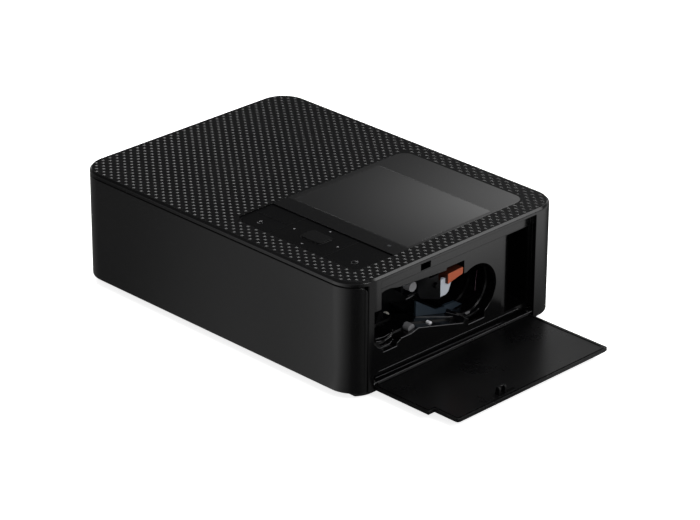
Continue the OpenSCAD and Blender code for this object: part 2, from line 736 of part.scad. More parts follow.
module panel_boss() difference() {
    union() {
        translate([panel_post.x, panel_post.y, floor_z]) cylinder(h = 12.5, r = 3);
        block([panel_post.x, panel_post.y - 1, 9.4], [panel_x - panel_t + eps, panel_post.y + 1, floor_z + 12.5]);
    }
    translate([panel_post.x, panel_post.y, floor_z - 1]) cylinder(h = 7, r = 1.1 + fit);
}

// Eject lever, its latch, pin and spring
module eject_lever() color("#c4552f") difference() {
    union() {
        along_x(panel_x - 5.6, panel_x + 0.4) polygon([[lever_y0 + 0.2, 37.4], [lever_y1 - 0.2, 39.6],
            [lever_y1 - 0.2, 42.8], [lever_y0 + 0.2, 42.4]]);
        along_y(lever_y0 + 1.3, lever_y1 - 3.4) polygon([
            [lever_pivot.x, lever_pivot.y - 2.4], [panel_x - 5.4, 39.6], [panel_x - 5.4, 42.4], [lever_pivot.x, lever_pivot.y + 2.4]]);
        y_rod(lever_pivot.x, lever_pivot.y, 2.4, lever_y0 + 1.1, lever_y1 - 3.2);
    }
    y_rod(lever_pivot.x, lever_pivot.y, 1.2 + fit, lever_y0, lever_y1);
}

// Thin hooked plate on the lever, its front edge cut back at a slant
module cassette_latch() color("#e6e8ea") difference() {
    x1 = panel_x - 1.2;
    x0 = x1 - latch_plate_t;
    y0 = lever_y0 - 3;
    along_x(x0, x1)
        polygon([[y0, 31.5], [lever_y0 + 0.3, 31.6], [lever_y0 + 1.4, 32], [lever_y0 + 2.3, 32.8], [lever_y0 + 3.1, 34.5],
                 [lever_y0 + 3.8, 36.2], [lever_y0 + 4, 38.25], [lever_y0 + 0.2, 37.4], [lever_y0 + 0.2, 39.9], [y0, 39.9]]);
    upright(30, 42) polygon([[x1 + 0.5, y0 - 0.5], [x0 - 0.5, y0 + latch_plate_t + 0.5], [x0 - 0.5, y0 - 1], [x1 + 0.5, y0 - 1]]);
}
latch_plate_t = 1.8;

module lever_pin() color("#b9bcc0")
    y_rod(lever_pivot.x, lever_pivot.y, 1.2, lever_y0 - 0.3, lever_y1 + 0.9);

// Torsion spring round the lever's pin, one tube swept along a helix with straight ends
module lever_spring() color("#9a9da1") {
    r = 2;
    turns = 1.5;
    per_turn = 10;
    pitch = 0.95;
    wire = 0.22;
    y0 = lever_y1 - 2.75;
    steps = turns * per_turn;
    rings = [for (k = [0:steps]) let (a = 360 * k / per_turn)
        [for (s = [0:5]) let (b = 60 * s, q = r + wire * cos(b))
            [lever_pivot.x + q * cos(a), y0 + pitch * k / per_turn + wire * sin(b), lever_pivot.y + q * sin(a)]]];
    tube(rings);
    middles = [for (k = [0:steps]) [r * cos(360 * k / per_turn), pitch * k / per_turn, r * sin(360 * k / per_turn)]];
    gap = min([for (i = [0:steps], j = [0:steps]) if (j - i > per_turn / 2) norm(middles[i] - middles[j])]) - 2 * wire;
    echo(str("lever spring, least gap between its turns: ", gap, " mm"));
}

// A closed tube through rings of points
module tube(rings) {
    n = len(rings[0]);
    last = len(rings) - 1;
    faces = concat(
        [for (k = [0:last - 1], s = [0:n - 1]) each [
            [k * n + s, k * n + (s + 1) % n, (k + 1) * n + s],
            [k * n + (s + 1) % n, (k + 1) * n + (s + 1) % n, (k + 1) * n + s]]],
        [[for (s = [n - 1:-1:0]) s], [for (s = [0:n - 1]) last * n + s]]);
    polyhedron([for (ring = rings) each ring], faces);
}

// Dark block between the lobes that ends the head assembly
block_x = panel_x - 10;

module pivot_block() color("#33373d") difference() {
    union() {
        along_x(plate_out, block_x) polygon([[-13, 42.5], [-5.6, 42.5], [-5.6, 37], [6, 37], [6, 25.5], [1, 24.4],
            [-10.2, 28.4], [-12, 30], [-13, 33]]);
        along_x(plate_out, block_x - 4) polygon([[-19.6, 39.6], [-12, 39.6], [-12, 30.6], [-19.6, 33.4]]);
        along_x(block_x - 4 - eps, block_x - 0.6) translate([-18.6, 31.9]) square([6, 0.8]);
        x_rod([-1.4, 32.4], 1.3, block_x - eps, block_x + 1.2);
    }
    x_rod(bush_at, 1.2, plate_out + 2, panel_x);
    along_x(plate_out - 1, block_x - 1.4) translate([-11.6, 35.4]) square([4.6, 7.2]);
}

bush_at = [-16, 36.4];

module lip_studs(gap) {
    x_rod([-24.6, 21.7], 2 + gap, step_x[0], panel_x - panel_t - 0.3 + gap);
    x_rod([-10.9, 18.9], 0.9 + gap, step_x[0], step_x[0] + 2 + gap);
}

// Light bush beside the block, and two studs at the lip of the bay
module bay_studs() color("#dfe1e3") {
    x_rod(bush_at, 1.2, plate_out + 4, block_x - 3.5);
    x_rod(bush_at, 2.3, block_x - 4, block_x);
    lip_studs(0);
}

// Cradles that carry the spools
module cradle(at, r, y0, y1) {
    inner = [-frame_half, frame_half];
    along_x(inner[0], inner[1]) difference() {
        translate(at) circle(r + 1.2);
        translate(at) circle(r);
        translate([y0 - 40, at.y - 4]) square([100, 60]);
        translate([y0 - 40, at.y - 60]) square([40, 100]);
        translate([y1, at.y - 60]) square([40, 100]);
    }
}

module front_cradle() color("#2e3135") {
    cradle(take_up, front_lobe_r + 0.2, -60, -33);
    for (x = [-40:20:40]) along_x(x - 0.6, x + 0.6) difference() {
        translate([-53, 17.8]) square([4, 7]);
        translate(take_up) circle(front_lobe_r + 0.8);
    }
}

module rear_cradle() color("#2e3135") {
    cradle(supply, rear_lobe_r + 0.2, 2, 40);
    for (x = [-40:20:40]) along_x(x - 0.6, x + 0.6) difference() {
        translate([24, 15.4]) square([4, 8]);
        translate(supply) circle(rear_lobe_r + 0.8);
    }
}

// Side plates
plate_y0 = -55;
plate_y1 = 50;
plate_z1 = ceiling_z - 6.1;

module plate_blank() round_rect([plate_y0, floor_z], [plate_y1, plate_z1], 3);
module bush_holes() for (at = [platen, capstan, pickup]) translate(at) circle(bush_r);

module left_side_plate() color("#a9adb1") {
    along_x(-plate_out, -frame_half) difference() {
        plate_blank();
        bush_holes();
        translate(pinch) circle(pinch_shaft_r + fit);
        translate(head_pivot) circle(rod_r + fit);
        for (at = [take_up, supply]) translate(at) circle(2 + fit);
    }
    for (at = [front_idler_at, rear_idler_at]) x_rod(at, stud_r, gear_x - gear_w - 0.5, -frame_half - plate_t + eps);
    plate_foot(-plate_out, -1);
}

module plate_foot(x, way) {
    x1 = x + way * 6;
    block([min(x, x1), 38, floor_z], [max(x, x1), 48, floor_z + plate_t]);
}

module right_side_plate() color("#5d6b78") {
    along_x(frame_half, plate_out) difference() {
        plate_blank();
        bush_holes();
        translate(pinch) circle(pinch_shaft_r + fit);
        difference() {
            mouth(0.2);
            translate([-27, 0]) square([29.2, 34]);
        }
        translate(head_pivot) circle(rod_r + fit);
    }
    entry_flange();
}

// Bent lip under the block that guides a cassette in over the platen
module entry_flange() {
    fall = (22 - 14.3) / 29;
    low = [[-12.3, 22 + fall * (12.3 - 22.5) + 0.8], [6.5, 22 - fall * (6.5 + 22.5) + 0.95]];
    along_x(plate_out - eps, block_x - 1.6)
        polygon([low[0], low[1], [low[1].x, low[1].y + plate_t], [low[0].x, low[0].y + plate_t]]);
    along_x(block_x - 1.6 - plate_t, block_x - 1.6)
        polygon([low[0], low[1], [low[1].x, 18.3], [0.9, 18.9], [-12.3, 27.6]]);
}

module top_brace() color("#a9adb1") {
    block([-frame_half, -22, plate_z1 - 1.2], [frame_half, 16, plate_z1 - 0.2]);
    for (y = [-22, 15]) block([-frame_half, y, plate_z1 - 2.2], [frame_half, y + 1, plate_z1 - 0.2]);
}

// Flanged bushes pressed into the side plates
module bush(at, side) {
    out = side * plate_out;
    difference() {
        union() {
            x_rod(at, bush_r, min(side * (frame_half - 0.6), out + side * 0.4), max(side * (frame_half - 0.6), out + side * 0.4));
            x_rod(at, bush_r + 0.9, min(side * (frame_half - 0.6), side * frame_half), max(side * (frame_half - 0.6), side * frame_half));
        }
        x_rod(at, shaft_r + fit, -half_w, half_w);
    }
}

module shaft_bushes() color("#d9d4c4")
    for (at = [platen, capstan, pickup], side = [-1, 1]) bush(at, side);

// Rollers
roll_half = frame_half - 6;

module shaft(at, r, x0) x_rod(at, r, x0, plate_out + 1.6);

module platen_roller() color("#3c3c3c") {
    x_rod(platen, platen_r, -roll_half, roll_half);
    shaft(platen, shaft_r, gear_x - gear_w - 0.6);
}

module capstan() color("#c9ccd0") {
    x_rod(capstan, shaft_r + 0.9, -roll_half, roll_half);
    for (side = [-1, 1]) x_rod(capstan, capstan_r, side * 30 - 14, side * 30 + 14);
    shaft(capstan, shaft_r, gear_x - gear_w - 0.6);
}

module pinch_roller() color("#55585c") {
    x_rod(pinch, pinch_shaft_r, -plate_out - 0.8, plate_out + 0.8);
    for (side = [-1, 1]) x_rod(pinch, pinch_r, side * 30 - 13, side * 30 + 13);
}

module pickup_shaft() color("#c9ccd0") {
    shaft(pickup, shaft_r, gear_x - gear_w - 0.6);
    for (side = [-1, 1]) x_rod(pickup, 3, side * 18 - 6.5, side * 18 + 6.5);
}

module pickup_tyres() color("#3a3a3a")
    for (side = [-1, 1]) difference() {
        x_rod(pickup, pickup_r, side * 18 - 6, side * 18 + 6);
        x_rod(pickup, 3, side * 18 - 7, side * 18 + 7);
    }

// Gears
function involute(a) = tan(a) * 180 / PI - a;
function tooth_half(r, n) = let (base = gear_m * n / 2 * cos(20), a = acos(min(1, base / r)))
    90 / n - backlash * 28.6 / (gear_m * n / 2) + involute(20) - involute(a);
backlash = 0.1;

function tooth(n, turn) = let (pitch = gear_m * n / 2, tip = pitch + gear_m * 0.9, root = pitch - gear_m * 1.15,
    h = tooth_half(pitch, n), t = tooth_half(tip, n), w = tooth_half(max(root, pitch * cos(20)), n))
    [polar(root, turn - w * 1.02), polar(pitch, turn - h), polar(tip, turn - t),
     polar(tip, turn + t), polar(pitch, turn + h), polar(root, turn + w * 1.02)];

module gear_outline(n, turn) polygon([for (k = [0:n - 1]) each tooth(n, turn + 360 * k / n)]);

// The turn that puts a gear in mesh with its driver, which lies at an angle behind it
function mesh_turn(angle, turn, driver, n) = angle + 180 - (turn - angle) * driver / n - 180 / n;

platen_turn = 0;
pickup_turn = mesh_turn(pickup_angle, platen_turn, platen_teeth, pickup_teeth);
front_turn = mesh_turn(train_angle, platen_turn, platen_teeth, front_idler_teeth);
rear_turn = mesh_turn(train_angle, front_turn, front_idler_teeth, rear_idler_teeth);
capstan_turn = mesh_turn(train_angle, rear_turn, rear_idler_teeth, capstan_teeth);
pinion_turn = mesh_turn(pinion_angle, rear_turn, rear_idler_teeth, pinion_teeth);
ribbon_turn = mesh_turn(ribbon_angle, 0, take_up_teeth, ribbon_teeth);

module gear(at, n, turn, bore) along_x(gear_x - gear_w, gear_x) translate(at) difference() {
    gear_outline(n, turn);
    circle(bore);
}

module platen_gear() color("#e2dfd3") gear(platen, platen_teeth, platen_turn, shaft_r);
module capstan_gear() color("#e2dfd3") gear(capstan, capstan_teeth, capstan_turn, shaft_r);
module pickup_gear() color("#e2dfd3") gear(pickup, pickup_teeth, pickup_turn, shaft_r);
module front_idler() color("#d3cfc0") gear(front_idler_at, front_idler_teeth, front_turn, stud_r + fit);
module rear_idler() color("#d3cfc0") gear(rear_idler_at, rear_idler_teeth, rear_turn, stud_r + fit);

module feed_pinion() color("#c9ac5f") {
    gear(pinion_at, pinion_teeth, pinion_turn, 1 - eps);
    x_rod(pinion_at, 1, bracket_x - 6, gear_x + 0.2);
}

module ribbon_pinion() color("#c9ac5f") {
    gear(ribbon_at, ribbon_teeth, ribbon_turn, 1 - eps);
    x_rod(ribbon_at, 1, bracket_x - 6, gear_x + 0.2);
}

// Motors on their bracket
bracket_z1 = ceiling_z - 8.4;
module feed_motor() color("#8d9196") {
    difference() {
        union() {
            x_rod(pinion_at, 17.2, bracket_x - 15, bracket_x - plate_t);
            motor_bracket();
        }
        x_rod(pinion_at, 1 + fit, bracket_x - 8, bracket_x);
        x_rod(pinion_at, 1.6, bracket_x - plate_t - 0.5, bracket_x + 1);
        x_rod(ribbon_at, 1.6, bracket_x - plate_t - 0.5, bracket_x + 1);
    }
}

module motor_bracket() {
    along_x(bracket_x - plate_t, bracket_x) difference() {
        round_rect([-50, 5], [46, bracket_z1], 3);
        translate([-24, 4]) square([22, 20]);
        translate([26, 22]) square([30, 11]);
    }
    for (at = [[-46, 9], [-21.5, bracket_z1 - 2.7], [42, 8], [42, bracket_z1 - 2.7]]) x_rod(at, 2.2, bracket_x - eps, -plate_out);
}

module ribbon_motor() color("#8d9196") difference() {
    union() {
        x_rod(ribbon_at, 9.8, bracket_x - plate_t - 17, bracket_x - plate_t);
        x_rod(ribbon_at, 3.5, bracket_x - plate_t - 19, bracket_x - plate_t - 17 + eps);
    }
    x_rod(ribbon_at, 1 + fit, bracket_x - 8, bracket_x);
}

// Hubs that turn the spools
module hub_nose(at) {
    x_rod(at, 9, -frame_half + 0.6, -frame_half + 2.2);
    x_rod(at, 3.6, -frame_half + 2, -frame_half + 16);
    translate([-frame_half + 16 - eps, at.x, at.y]) rotate([0, 90, 0]) cylinder(h = 2.4, r1 = 3.6, r2 = 1.6);
    for (a = [0:60:300]) translate([0, at.x, at.y]) rotate([a, 0, 0])
        block([-frame_half + 2, -0.5, 0], [-frame_half + 15, 0.5, 4.8]);
    x_rod(at, 2, -plate_out - 0.6, -frame_half + 1);
}

module take_up_hub() color("#d8dadd") {
    hub_nose(take_up);
    gear(take_up, take_up_teeth, 0, 1.9);
    x_rod(take_up, 2, gear_x - gear_w, -plate_out);
}

module supply_hub() color("#d8dadd") {
    hub_nose(supply);
    x_rod(supply, 3.2, -plate_out - 0.9, -plate_out - 0.3);
}

// Print head, its heat sink and arms
head_half = roll_half;

module print_head() color("#c8bfae") along_x(-head_half, head_half)
    polygon([[-18.5, 22.5], [-15.5, 21.1], [-12.5, 21.1], [-9.5, 22.5], [-9.5, 24], [-18.5, 24]]);

module heat_sink() color("#9fa3a8") along_x(-head_half, head_half) {
    translate([-19.5, 24]) square([12, 3]);
    for (k = [0:4]) translate([-19.5 + 2.6 * k, 26.9]) square([1.2, 6]);
}

module head_arms() color("#7d8288") {
    for (side = [-1, 1]) along_x(min(side * head_half, side * (head_half + 1.5)), max(side * head_half, side * (head_half + 1.5)))
        difference() {
            union() {
                translate(head_pivot) circle(3);
                polygon([[-25.6, 23.3], [-18.5, 22], [-8, 22.4], [-8, 28], [-22, 29.2], [-25.4, 28.8]]);
            }
            translate(head_pivot) circle(rod_r + fit);
        }
}

module head_pivot_rod() color("#c9ccd0") x_rod(head_pivot, rod_r, -plate_out - 1, plate_out + 5);

// Paper path
module tray_guide() color("#26282b") {
    t = 1.2;
    y0 = frame_y + frame_t;
    y1 = -33;
    difference() {
        for (side = [-1, 1]) along_y(y0, -22.4) translate([side * (bay_half + t / 2), 0])
            translate([-t / 2, floor_z]) square([t, bay_z1 - floor_z]);
        x_rod(pickup, shaft_r + 0.5, -bay_half - t - 1, bay_half + t + 1);
    }
    block([-bay_half - t, y0, bay_z1], [bay_half + t, y1, bay_z1 + 1]);
    along_x(-bay_half, bay_half) polygon([[-23.6, floor_z], [-21.4, floor_z], [-21.4, 12.6], [-22.2, 12.6]]);
}

module paper_guide() color("#26282b") {
    half = frame_half - 5;
    along_x(-half, half) difference() {
        polygon([[-8.6, 15.8], [-8.6, 14.4], [3, 6.6], [20, 5.2], [24, floor_z], [60, floor_z], [61, 4.2],
                 [half_d - wall - 0.3, 4.2], [half_d - wall - 0.3, exit_z - 0.8], [24, exit_z - 0.8], [20, 7.4], [4, 10.6]]);
        translate([capstan.x - 4.2, floor_z - 1]) square([8.4, 12]);
        for (y = [capstan.x + 8:7:58]) translate([y, floor_z - 1]) square([4, exit_z - floor_z - 1]);
    }
    for (side = [-1, 1]) {
        block([side * (half - 1) - 1, 4, floor_z], [side * (half - 1) + 1, 24, 6.2]);
        block([side * (half - 1) - 1, 23, floor_z], [side * (half - 1) + 1, 40, pinch.y - pinch_shaft_r - 0.4]);
    }
}

// Cooling fan
module fan_frame() color("#1e1f21") {
    y0 = fan_at.y - 5;
    y1 = fan_at.y + 5;
    along_y(y0, y1) translate([fan_at.x, fan_at.z]) difference() {
        round_rect([-17.5, -17.5], [17.5, 17.5], 2.5);
        circle(16.2);
        for (x = [-14.5, 14.5], z = [-14.5, 14.5]) translate([x, z]) circle(1.5);
    }
    along_y(y0, y0 + 1.5) translate([fan_at.x, fan_at.z]) difference() {
        union() {
            circle(7);
            for (a = [45, 135]) rotate(a) translate([-16.6, -1]) square([33.2, 2]);
        }
        circle(1 + fit);
    }
}

module fan_rotor() color("#26282b") {
    y0 = fan_at.y - 3;
    y1 = fan_at.y + 3.5;
    y_rod(fan_at.x, fan_at.z, 6.8, y0, y1);
    y_rod(fan_at.x, fan_at.z, 1, y0 - 2.6, y0 + 1);
    intersection() {
        translate([fan_at.x, 0, fan_at.z]) for (a = [0:360 / 7:359]) rotate([0, a, 0])
            translate([0, fan_at.y, 0]) rotate([0, 0, 38]) block([-0.5, -5, 6], [0.5, 5, 16]);
        difference() {
            y_rod(fan_at.x, fan_at.z, 15.5, y0, y1);
            y_rod(fan_at.x, fan_at.z, 6, y0 - 1, y1 + 1);
        }
    }
}

base_pan();
rubber_feet();
case_screws();
case_shell();
front_frame();
front_cover();
ink_door();
deck_plate();
control_fascia();
lcd_window();
lcd_panel();
indicator_lens();
key_board();
menu_key();
back_key();
cursor_key();
ok_key();
power_key();
main_board();
card_reader();
large_data_socket();
small_data_socket();
power_inlet();
ink_bay_panel();
eject_lever();
cassette_latch();
lever_pin();
lever_spring();
pivot_block();
bay_studs();
front_cradle();
rear_cradle();
left_side_plate();
right_side_plate();
top_brace();
shaft_bushes();
print_head();
heat_sink();
head_arms();
head_pivot_rod();
platen_roller();
capstan();
pinch_roller();
pickup_shaft();
pickup_tyres();
platen_gear();
capstan_gear();
pickup_gear();
front_idler();
rear_idler();
feed_pinion();
feed_motor();
take_up_hub();
supply_hub();
ribbon_pinion();
ribbon_motor();
tray_guide();
paper_guide();
fan_frame();
fan_rotor();
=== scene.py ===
import json
from math import cos, radians, sin

import bmesh
import bpy
from mathutils import Matrix, Vector

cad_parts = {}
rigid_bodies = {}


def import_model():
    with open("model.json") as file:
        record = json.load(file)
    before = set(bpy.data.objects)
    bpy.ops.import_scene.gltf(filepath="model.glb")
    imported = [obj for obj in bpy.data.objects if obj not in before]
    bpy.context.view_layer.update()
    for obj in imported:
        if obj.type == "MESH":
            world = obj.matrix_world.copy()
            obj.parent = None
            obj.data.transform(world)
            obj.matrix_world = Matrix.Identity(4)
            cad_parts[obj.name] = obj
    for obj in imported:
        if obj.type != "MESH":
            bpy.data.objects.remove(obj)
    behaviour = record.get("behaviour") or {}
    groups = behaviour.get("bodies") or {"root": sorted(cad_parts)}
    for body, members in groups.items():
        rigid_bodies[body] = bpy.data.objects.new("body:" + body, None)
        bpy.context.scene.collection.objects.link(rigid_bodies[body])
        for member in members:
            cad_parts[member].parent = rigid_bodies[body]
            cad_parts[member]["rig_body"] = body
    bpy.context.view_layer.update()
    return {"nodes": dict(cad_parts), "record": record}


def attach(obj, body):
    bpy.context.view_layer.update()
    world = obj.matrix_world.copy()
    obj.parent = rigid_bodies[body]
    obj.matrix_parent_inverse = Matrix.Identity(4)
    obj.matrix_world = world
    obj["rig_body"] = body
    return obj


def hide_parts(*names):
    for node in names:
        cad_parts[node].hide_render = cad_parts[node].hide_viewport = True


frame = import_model()
nodes = frame["nodes"]
nodeSlot = {part["node"]: part["material_slot"] for part in frame["record"]["subparts"]}
mm = 0.001
print("stage: frame loaded,", len(nodes), "nodes")


class Wire:  # a node's output, so that shader sums read as plain arithmetic
    def __init__(self, recipe, socket):
        self.recipe, self.socket = recipe, socket

    def sum(self, operation, first, second=0.0):
        return self.recipe.node("Math", {"operation": operation}, {0: first, 1: second})

    def __add__(self, other): return self.sum("ADD", self, other)
    def __radd__(self, other): return self.sum("ADD", other, self)
    def __sub__(self, other): return self.sum("SUBTRACT", self, other)
    def __rsub__(self, other): return self.sum("SUBTRACT", other, self)
    def __mul__(self, other): return self.sum("MULTIPLY", self, other)
    def __rmul__(self, other): return self.sum("MULTIPLY", other, self)
    def __truediv__(self, other): return self.sum("DIVIDE", self, other)
    def __rtruediv__(self, other): return self.sum("DIVIDE", other, self)
    def __pow__(self, other): return self.sum("POWER", self, other)
    def __neg__(self): return self.sum("SUBTRACT", 0.0, self)


class Recipe:  # one node tree, with one method that makes any node
    def __init__(self, owner):
        self.owner = owner
        owner.use_nodes = True
        self.tree = owner.node_tree
        self.tree.nodes.clear()

    def node(self, kind, settings=None, inputs=None, out=0):
        made = self.tree.nodes.new("ShaderNode" + kind)
        for key, value in (settings or {}).items():
            if key == "stops":
                ramp = made.color_ramp.elements
                while len(ramp) < len(value):
                    ramp.new(1.0)
                for step, (place, shade) in zip(ramp, value):
                    step.position, step.color = place, shade
            else:
                setattr(made, key, value)
        for key, value in (inputs or {}).items():
            if isinstance(value, Wire):
                self.tree.links.new(value.socket, made.inputs[key])
            else:
                made.inputs[key].default_value = value
        return Wire(self, made.outputs[out]) if made.outputs else None

    def place(self, turn=(0, 0, 0), size=(1, 1, 1)):  # where on the piece, in metres
        here = self.node("TexCoord", out=3)
        return self.node("Mapping", None, {"Vector": here, "Rotation": turn, "Scale": size})

    def noise(self, where, scale, detail=2.0):
        return self.node("TexNoise", None, {"Vector": where, "Scale": scale, "Detail": detail})

    def blendColour(self, mask, low, high):
        return self.node("Mix", {"data_type": "RGBA"}, {0: mask, 6: low, 7: high}, out=2)

    def bump(self, height, strength, depth):
        return self.node("Bump", None, {"Height": height, "Strength": strength, "Distance": depth})

    def paintedBayShade(self, look, colour):  # painted shade: darker up to one place along the printer's width, deep in the bay where shade falls, and the plain colour past it
        if "brightFrom" not in look:
            return colour
        across = self.node("SeparateXYZ", None, {"Vector": self.place()})
        edge = self.node("Clamp", None, {"Value": (across - look["brightFrom"]) * look["sharp"]})
        return self.blendColour(edge, tint(look["colour"], look["dim"]), colour)

    def coatAndPaintedSheen(self, look):  # a coat, which may grow along a turned axis from one place over a length: on the case and the deck's scales this ramp is a painted sheen, on the gloss fascia a sharp step in the coat
        if "coatRamp" not in look:
            return look["coat"]
        angle, start, length = look["coatRamp"]
        across = self.node("SeparateXYZ", None, {"Vector": self.place(turn=(0, 0, radians(angle)))})
        return self.node("Clamp", None, {"Value": (across - start) / length}) * look["coat"]

    def finish(self, inputs):
        surface = self.node("BsdfPrincipled", None, inputs)
        self.node("OutputMaterial", None, {"Surface": surface})
        return self.owner


def tint(colour, gain=1.0):
    return (colour[0] * gain, colour[1] * gain, colour[2] * gain, 1.0)


# what a look shows unless its own row says otherwise: sizes count the noise's waves per metre
usualPlastic = {"spread": 0.25, "cloudSize": 45.0, "roughSpread": 0.1, "wearSize": 380.0, "wearSpread": 0.05,
                "specular": 0.5, "coat": 0.0, "coatRough": 0.05,
                "grain": 0.2, "grainSize": 2600.0, "grainDepth": 0.02 * mm}
usualMetal = {"spread": (0.86, 1.1), "cloudSize": 70.0, "roughSpread": 0.08, "metallic": 1.0, "brush": (1, 1, 1),
              "streakSize": 900.0, "streakSpread": 0.16, "grain": 0.15, "grainDepth": 0.01 * mm}


def plastic(name, ownLook):
    look = {**usualPlastic, **ownLook}
    recipe = Recipe(bpy.data.materials.new(name))
    where = recipe.place()
    cloud = recipe.noise(where, look["cloudSize"], 5.0)
    grain = recipe.noise(where, look["grainSize"])
    wear = recipe.noise(where, look["wearSize"], 3.0)
    dark, light = tint(look["colour"], 1 - look["spread"]), tint(look["colour"], 1 + look["spread"])
    rough = look["rough"] + (cloud - 0.5) * look["roughSpread"] + (wear - 0.5) * look["wearSpread"]
    return recipe.finish({
        "Base Color": recipe.paintedBayShade(look, recipe.blendColour(cloud, dark, light)), "Roughness": rough,
        "Specular IOR Level": look["specular"],
        "Coat Weight": recipe.coatAndPaintedSheen(look), "Coat Roughness": look["coatRough"],
        "Normal": recipe.bump(grain, look["grain"], look["grainDepth"])})


def metal(name, ownLook):
    look = {**usualMetal, **ownLook}
    recipe = Recipe(bpy.data.materials.new(name))
    cloud = recipe.noise(recipe.place(), look["cloudSize"], 4.0)
    streak = recipe.noise(recipe.place(size=look["brush"]), look["streakSize"], 3.0)
    dark, light = (tint(look["colour"], gain) for gain in look["spread"])
    rough = look["rough"] + (streak - 0.5) * look["streakSpread"] + (cloud - 0.5) * look["roughSpread"]
    return recipe.finish({
        "Base Color": recipe.paintedBayShade(look, recipe.blendColour(cloud, dark, light)), "Roughness": rough,
        "Metallic": look["metallic"], "Normal": recipe.bump(streak, look["grain"], look["grainDepth"])})


def board(name, look):  # solder mask with faint tracks under it
    recipe = Recipe(bpy.data.materials.new(name))
    where = recipe.place()
    cells = recipe.node("TexVoronoi", {"feature": "DISTANCE_TO_EDGE"}, {"Vector": where, "Scale": look["cells"]})
    track = recipe.node("Clamp", None, {"Value": cells * look["trackGain"]})
    colour = recipe.blendColour(track, tint(look["colour"], look["trackTone"]), tint(look["colour"]))
    rough = look["rough"] + recipe.noise(where, look["roughSize"]) * look["roughSpread"]
    return recipe.finish({"Base Color": colour, "Roughness": rough,
                          "Normal": recipe.bump(track, look["grain"], look["grainDepth"])})


plasticLooks = {
    # painted sheen: the case's coat grows along X, so it shines brighter towards its right
    "case_plastic": {"colour": (0.0013, 0.0013, 0.0015), "rough": 0.2, "specular": 0.14, "grain": 0.15,
                     "coat": 0.78, "coatRough": 0.2, "coatRamp": (0, -0.125, 0.19)},
    "cover_plastic": {"colour": (0.002, 0.002, 0.0022), "rough": 0.24, "specular": 0.42, "grain": 0.1},
    "pan_plastic": {"colour": (0.006, 0.006, 0.0063), "rough": 0.55, "specular": 0.3, "grain": 0.4},
    "deck_film": {"colour": (0.0026, 0.0026, 0.0028), "rough": 0.3, "specular": 0.03, "grain": 0.1},
    "gloss_black": {"colour": (0.0026, 0.0026, 0.0028), "rough": 0.2, "specular": 0.08, "grain": 0.02,
                    "roughSpread": 0.04, "cloudSize": 30.0, "coat": 0.34, "coatRamp": (-90, -0.0215, 0.0007)},
    "key_plastic": {"colour": (0.0018, 0.0018, 0.002), "rough": 0.24, "specular": 0.03, "grain": 0.1},
    "screen_glass": {"colour": (0.002, 0.002, 0.0022), "rough": 0.05, "grain": 0.0,
                     "roughSpread": 0.02, "cloudSize": 24.0},
    "screen_module": {"colour": (0.03, 0.03, 0.034), "rough": 0.3, "grain": 0.05},
    "lens": {"colour": (0.02, 0.022, 0.024), "rough": 0.2, "grain": 0.02},
    "foot_rubber": {"colour": (0.03, 0.03, 0.03), "rough": 0.85, "specular": 0.3, "grain": 0.6},
    "roller_rubber": {"colour": (0.035, 0.035, 0.036), "rough": 0.7, "specular": 0.35, "grain": 0.5},
    "gear_plastic": {"colour": (0.75, 0.73, 0.66), "rough": 0.45, "spread": 0.06, "grain": 0.1},
    "white_plastic": {"colour": (0.46, 0.49, 0.54), "rough": 0.35, "spread": 0.07, "grain": 0.1},
    # painted shade: the lever is darker deeper in the bay, short of brightFrom along X
    "orange_plastic": {"colour": (0.41, 0.085, 0.032), "rough": 0.45, "spread": 0.14, "grain": 0.3,
                       "specular": 0.3, "brightFrom": 0.0873, "sharp": 8000.0, "dim": 0.1},
    "frame_plastic": {"colour": (0.004, 0.0042, 0.005), "rough": 0.42, "specular": 0.35, "grain": 0.3},
    "block_plastic": {"colour": (0.002, 0.0022, 0.003), "rough": 0.3, "specular": 0.2},
    "head_ceramic": {"colour": (0.55, 0.52, 0.45), "rough": 0.25, "spread": 0.05, "grain": 0.05},
}
metalLooks = {
    "sheet_steel": {"colour": (0.55, 0.56, 0.58), "rough": 0.38, "brush": (1, 14, 1)},
    # painted shade: the plate is darker deeper in the bay, short of brightFrom along X
    "plated_steel": {"colour": (0.028, 0.043, 0.06), "rough": 0.42, "metallic": 0.35, "brush": (1, 10, 1),
                     "brightFrom": 0.0738, "sharp": 3000.0, "dim": 0.09},
    "turned_steel": {"colour": (0.6, 0.6, 0.62), "rough": 0.22, "brush": (18, 1, 1)},
    "motor_steel": {"colour": (0.4, 0.41, 0.43), "rough": 0.35, "brush": (16, 1, 1)},
    "sink_metal": {"colour": (0.6, 0.61, 0.63), "rough": 0.4, "brush": (1, 9, 1)},
    "brass": {"colour": (0.6, 0.45, 0.2), "rough": 0.3, "brush": (12, 1, 1)},
}
boardLook = {"colour": (0.008, 0.07, 0.028), "cells": 420.0, "trackGain": 9.0, "trackTone": 1.9, "rough": 0.36,
             "roughSize": 300.0, "roughSpread": 0.12, "grain": 0.3, "grainDepth": 0.03 * mm}
finishes = {slot: plastic(slot, look) for slot, look in plasticLooks.items()}
finishes.update({slot: metal(slot, look) for slot, look in metalLooks.items()})
finishes["board"] = board("board", boardLook)
# painted light and shade on the bay's two studs and its bush: one material whose grey steps up with depth along Y,
# from a shaded dark grey at the front to a lit near white further back; each tone and the depth in the printer
# that it holds at
studShadeLook = {"rough": 0.3, "roughSize": 600.0, "roughSpread": 0.1, "blue": 1.04, "front": -0.03, "reach": 0.03,
            "tones": ((-0.03, 0.16), (-0.02, 0.16), (-0.0195, 0.26), (-0.0132, 0.26), (-0.0128, 0.9), (0.0, 0.9))}


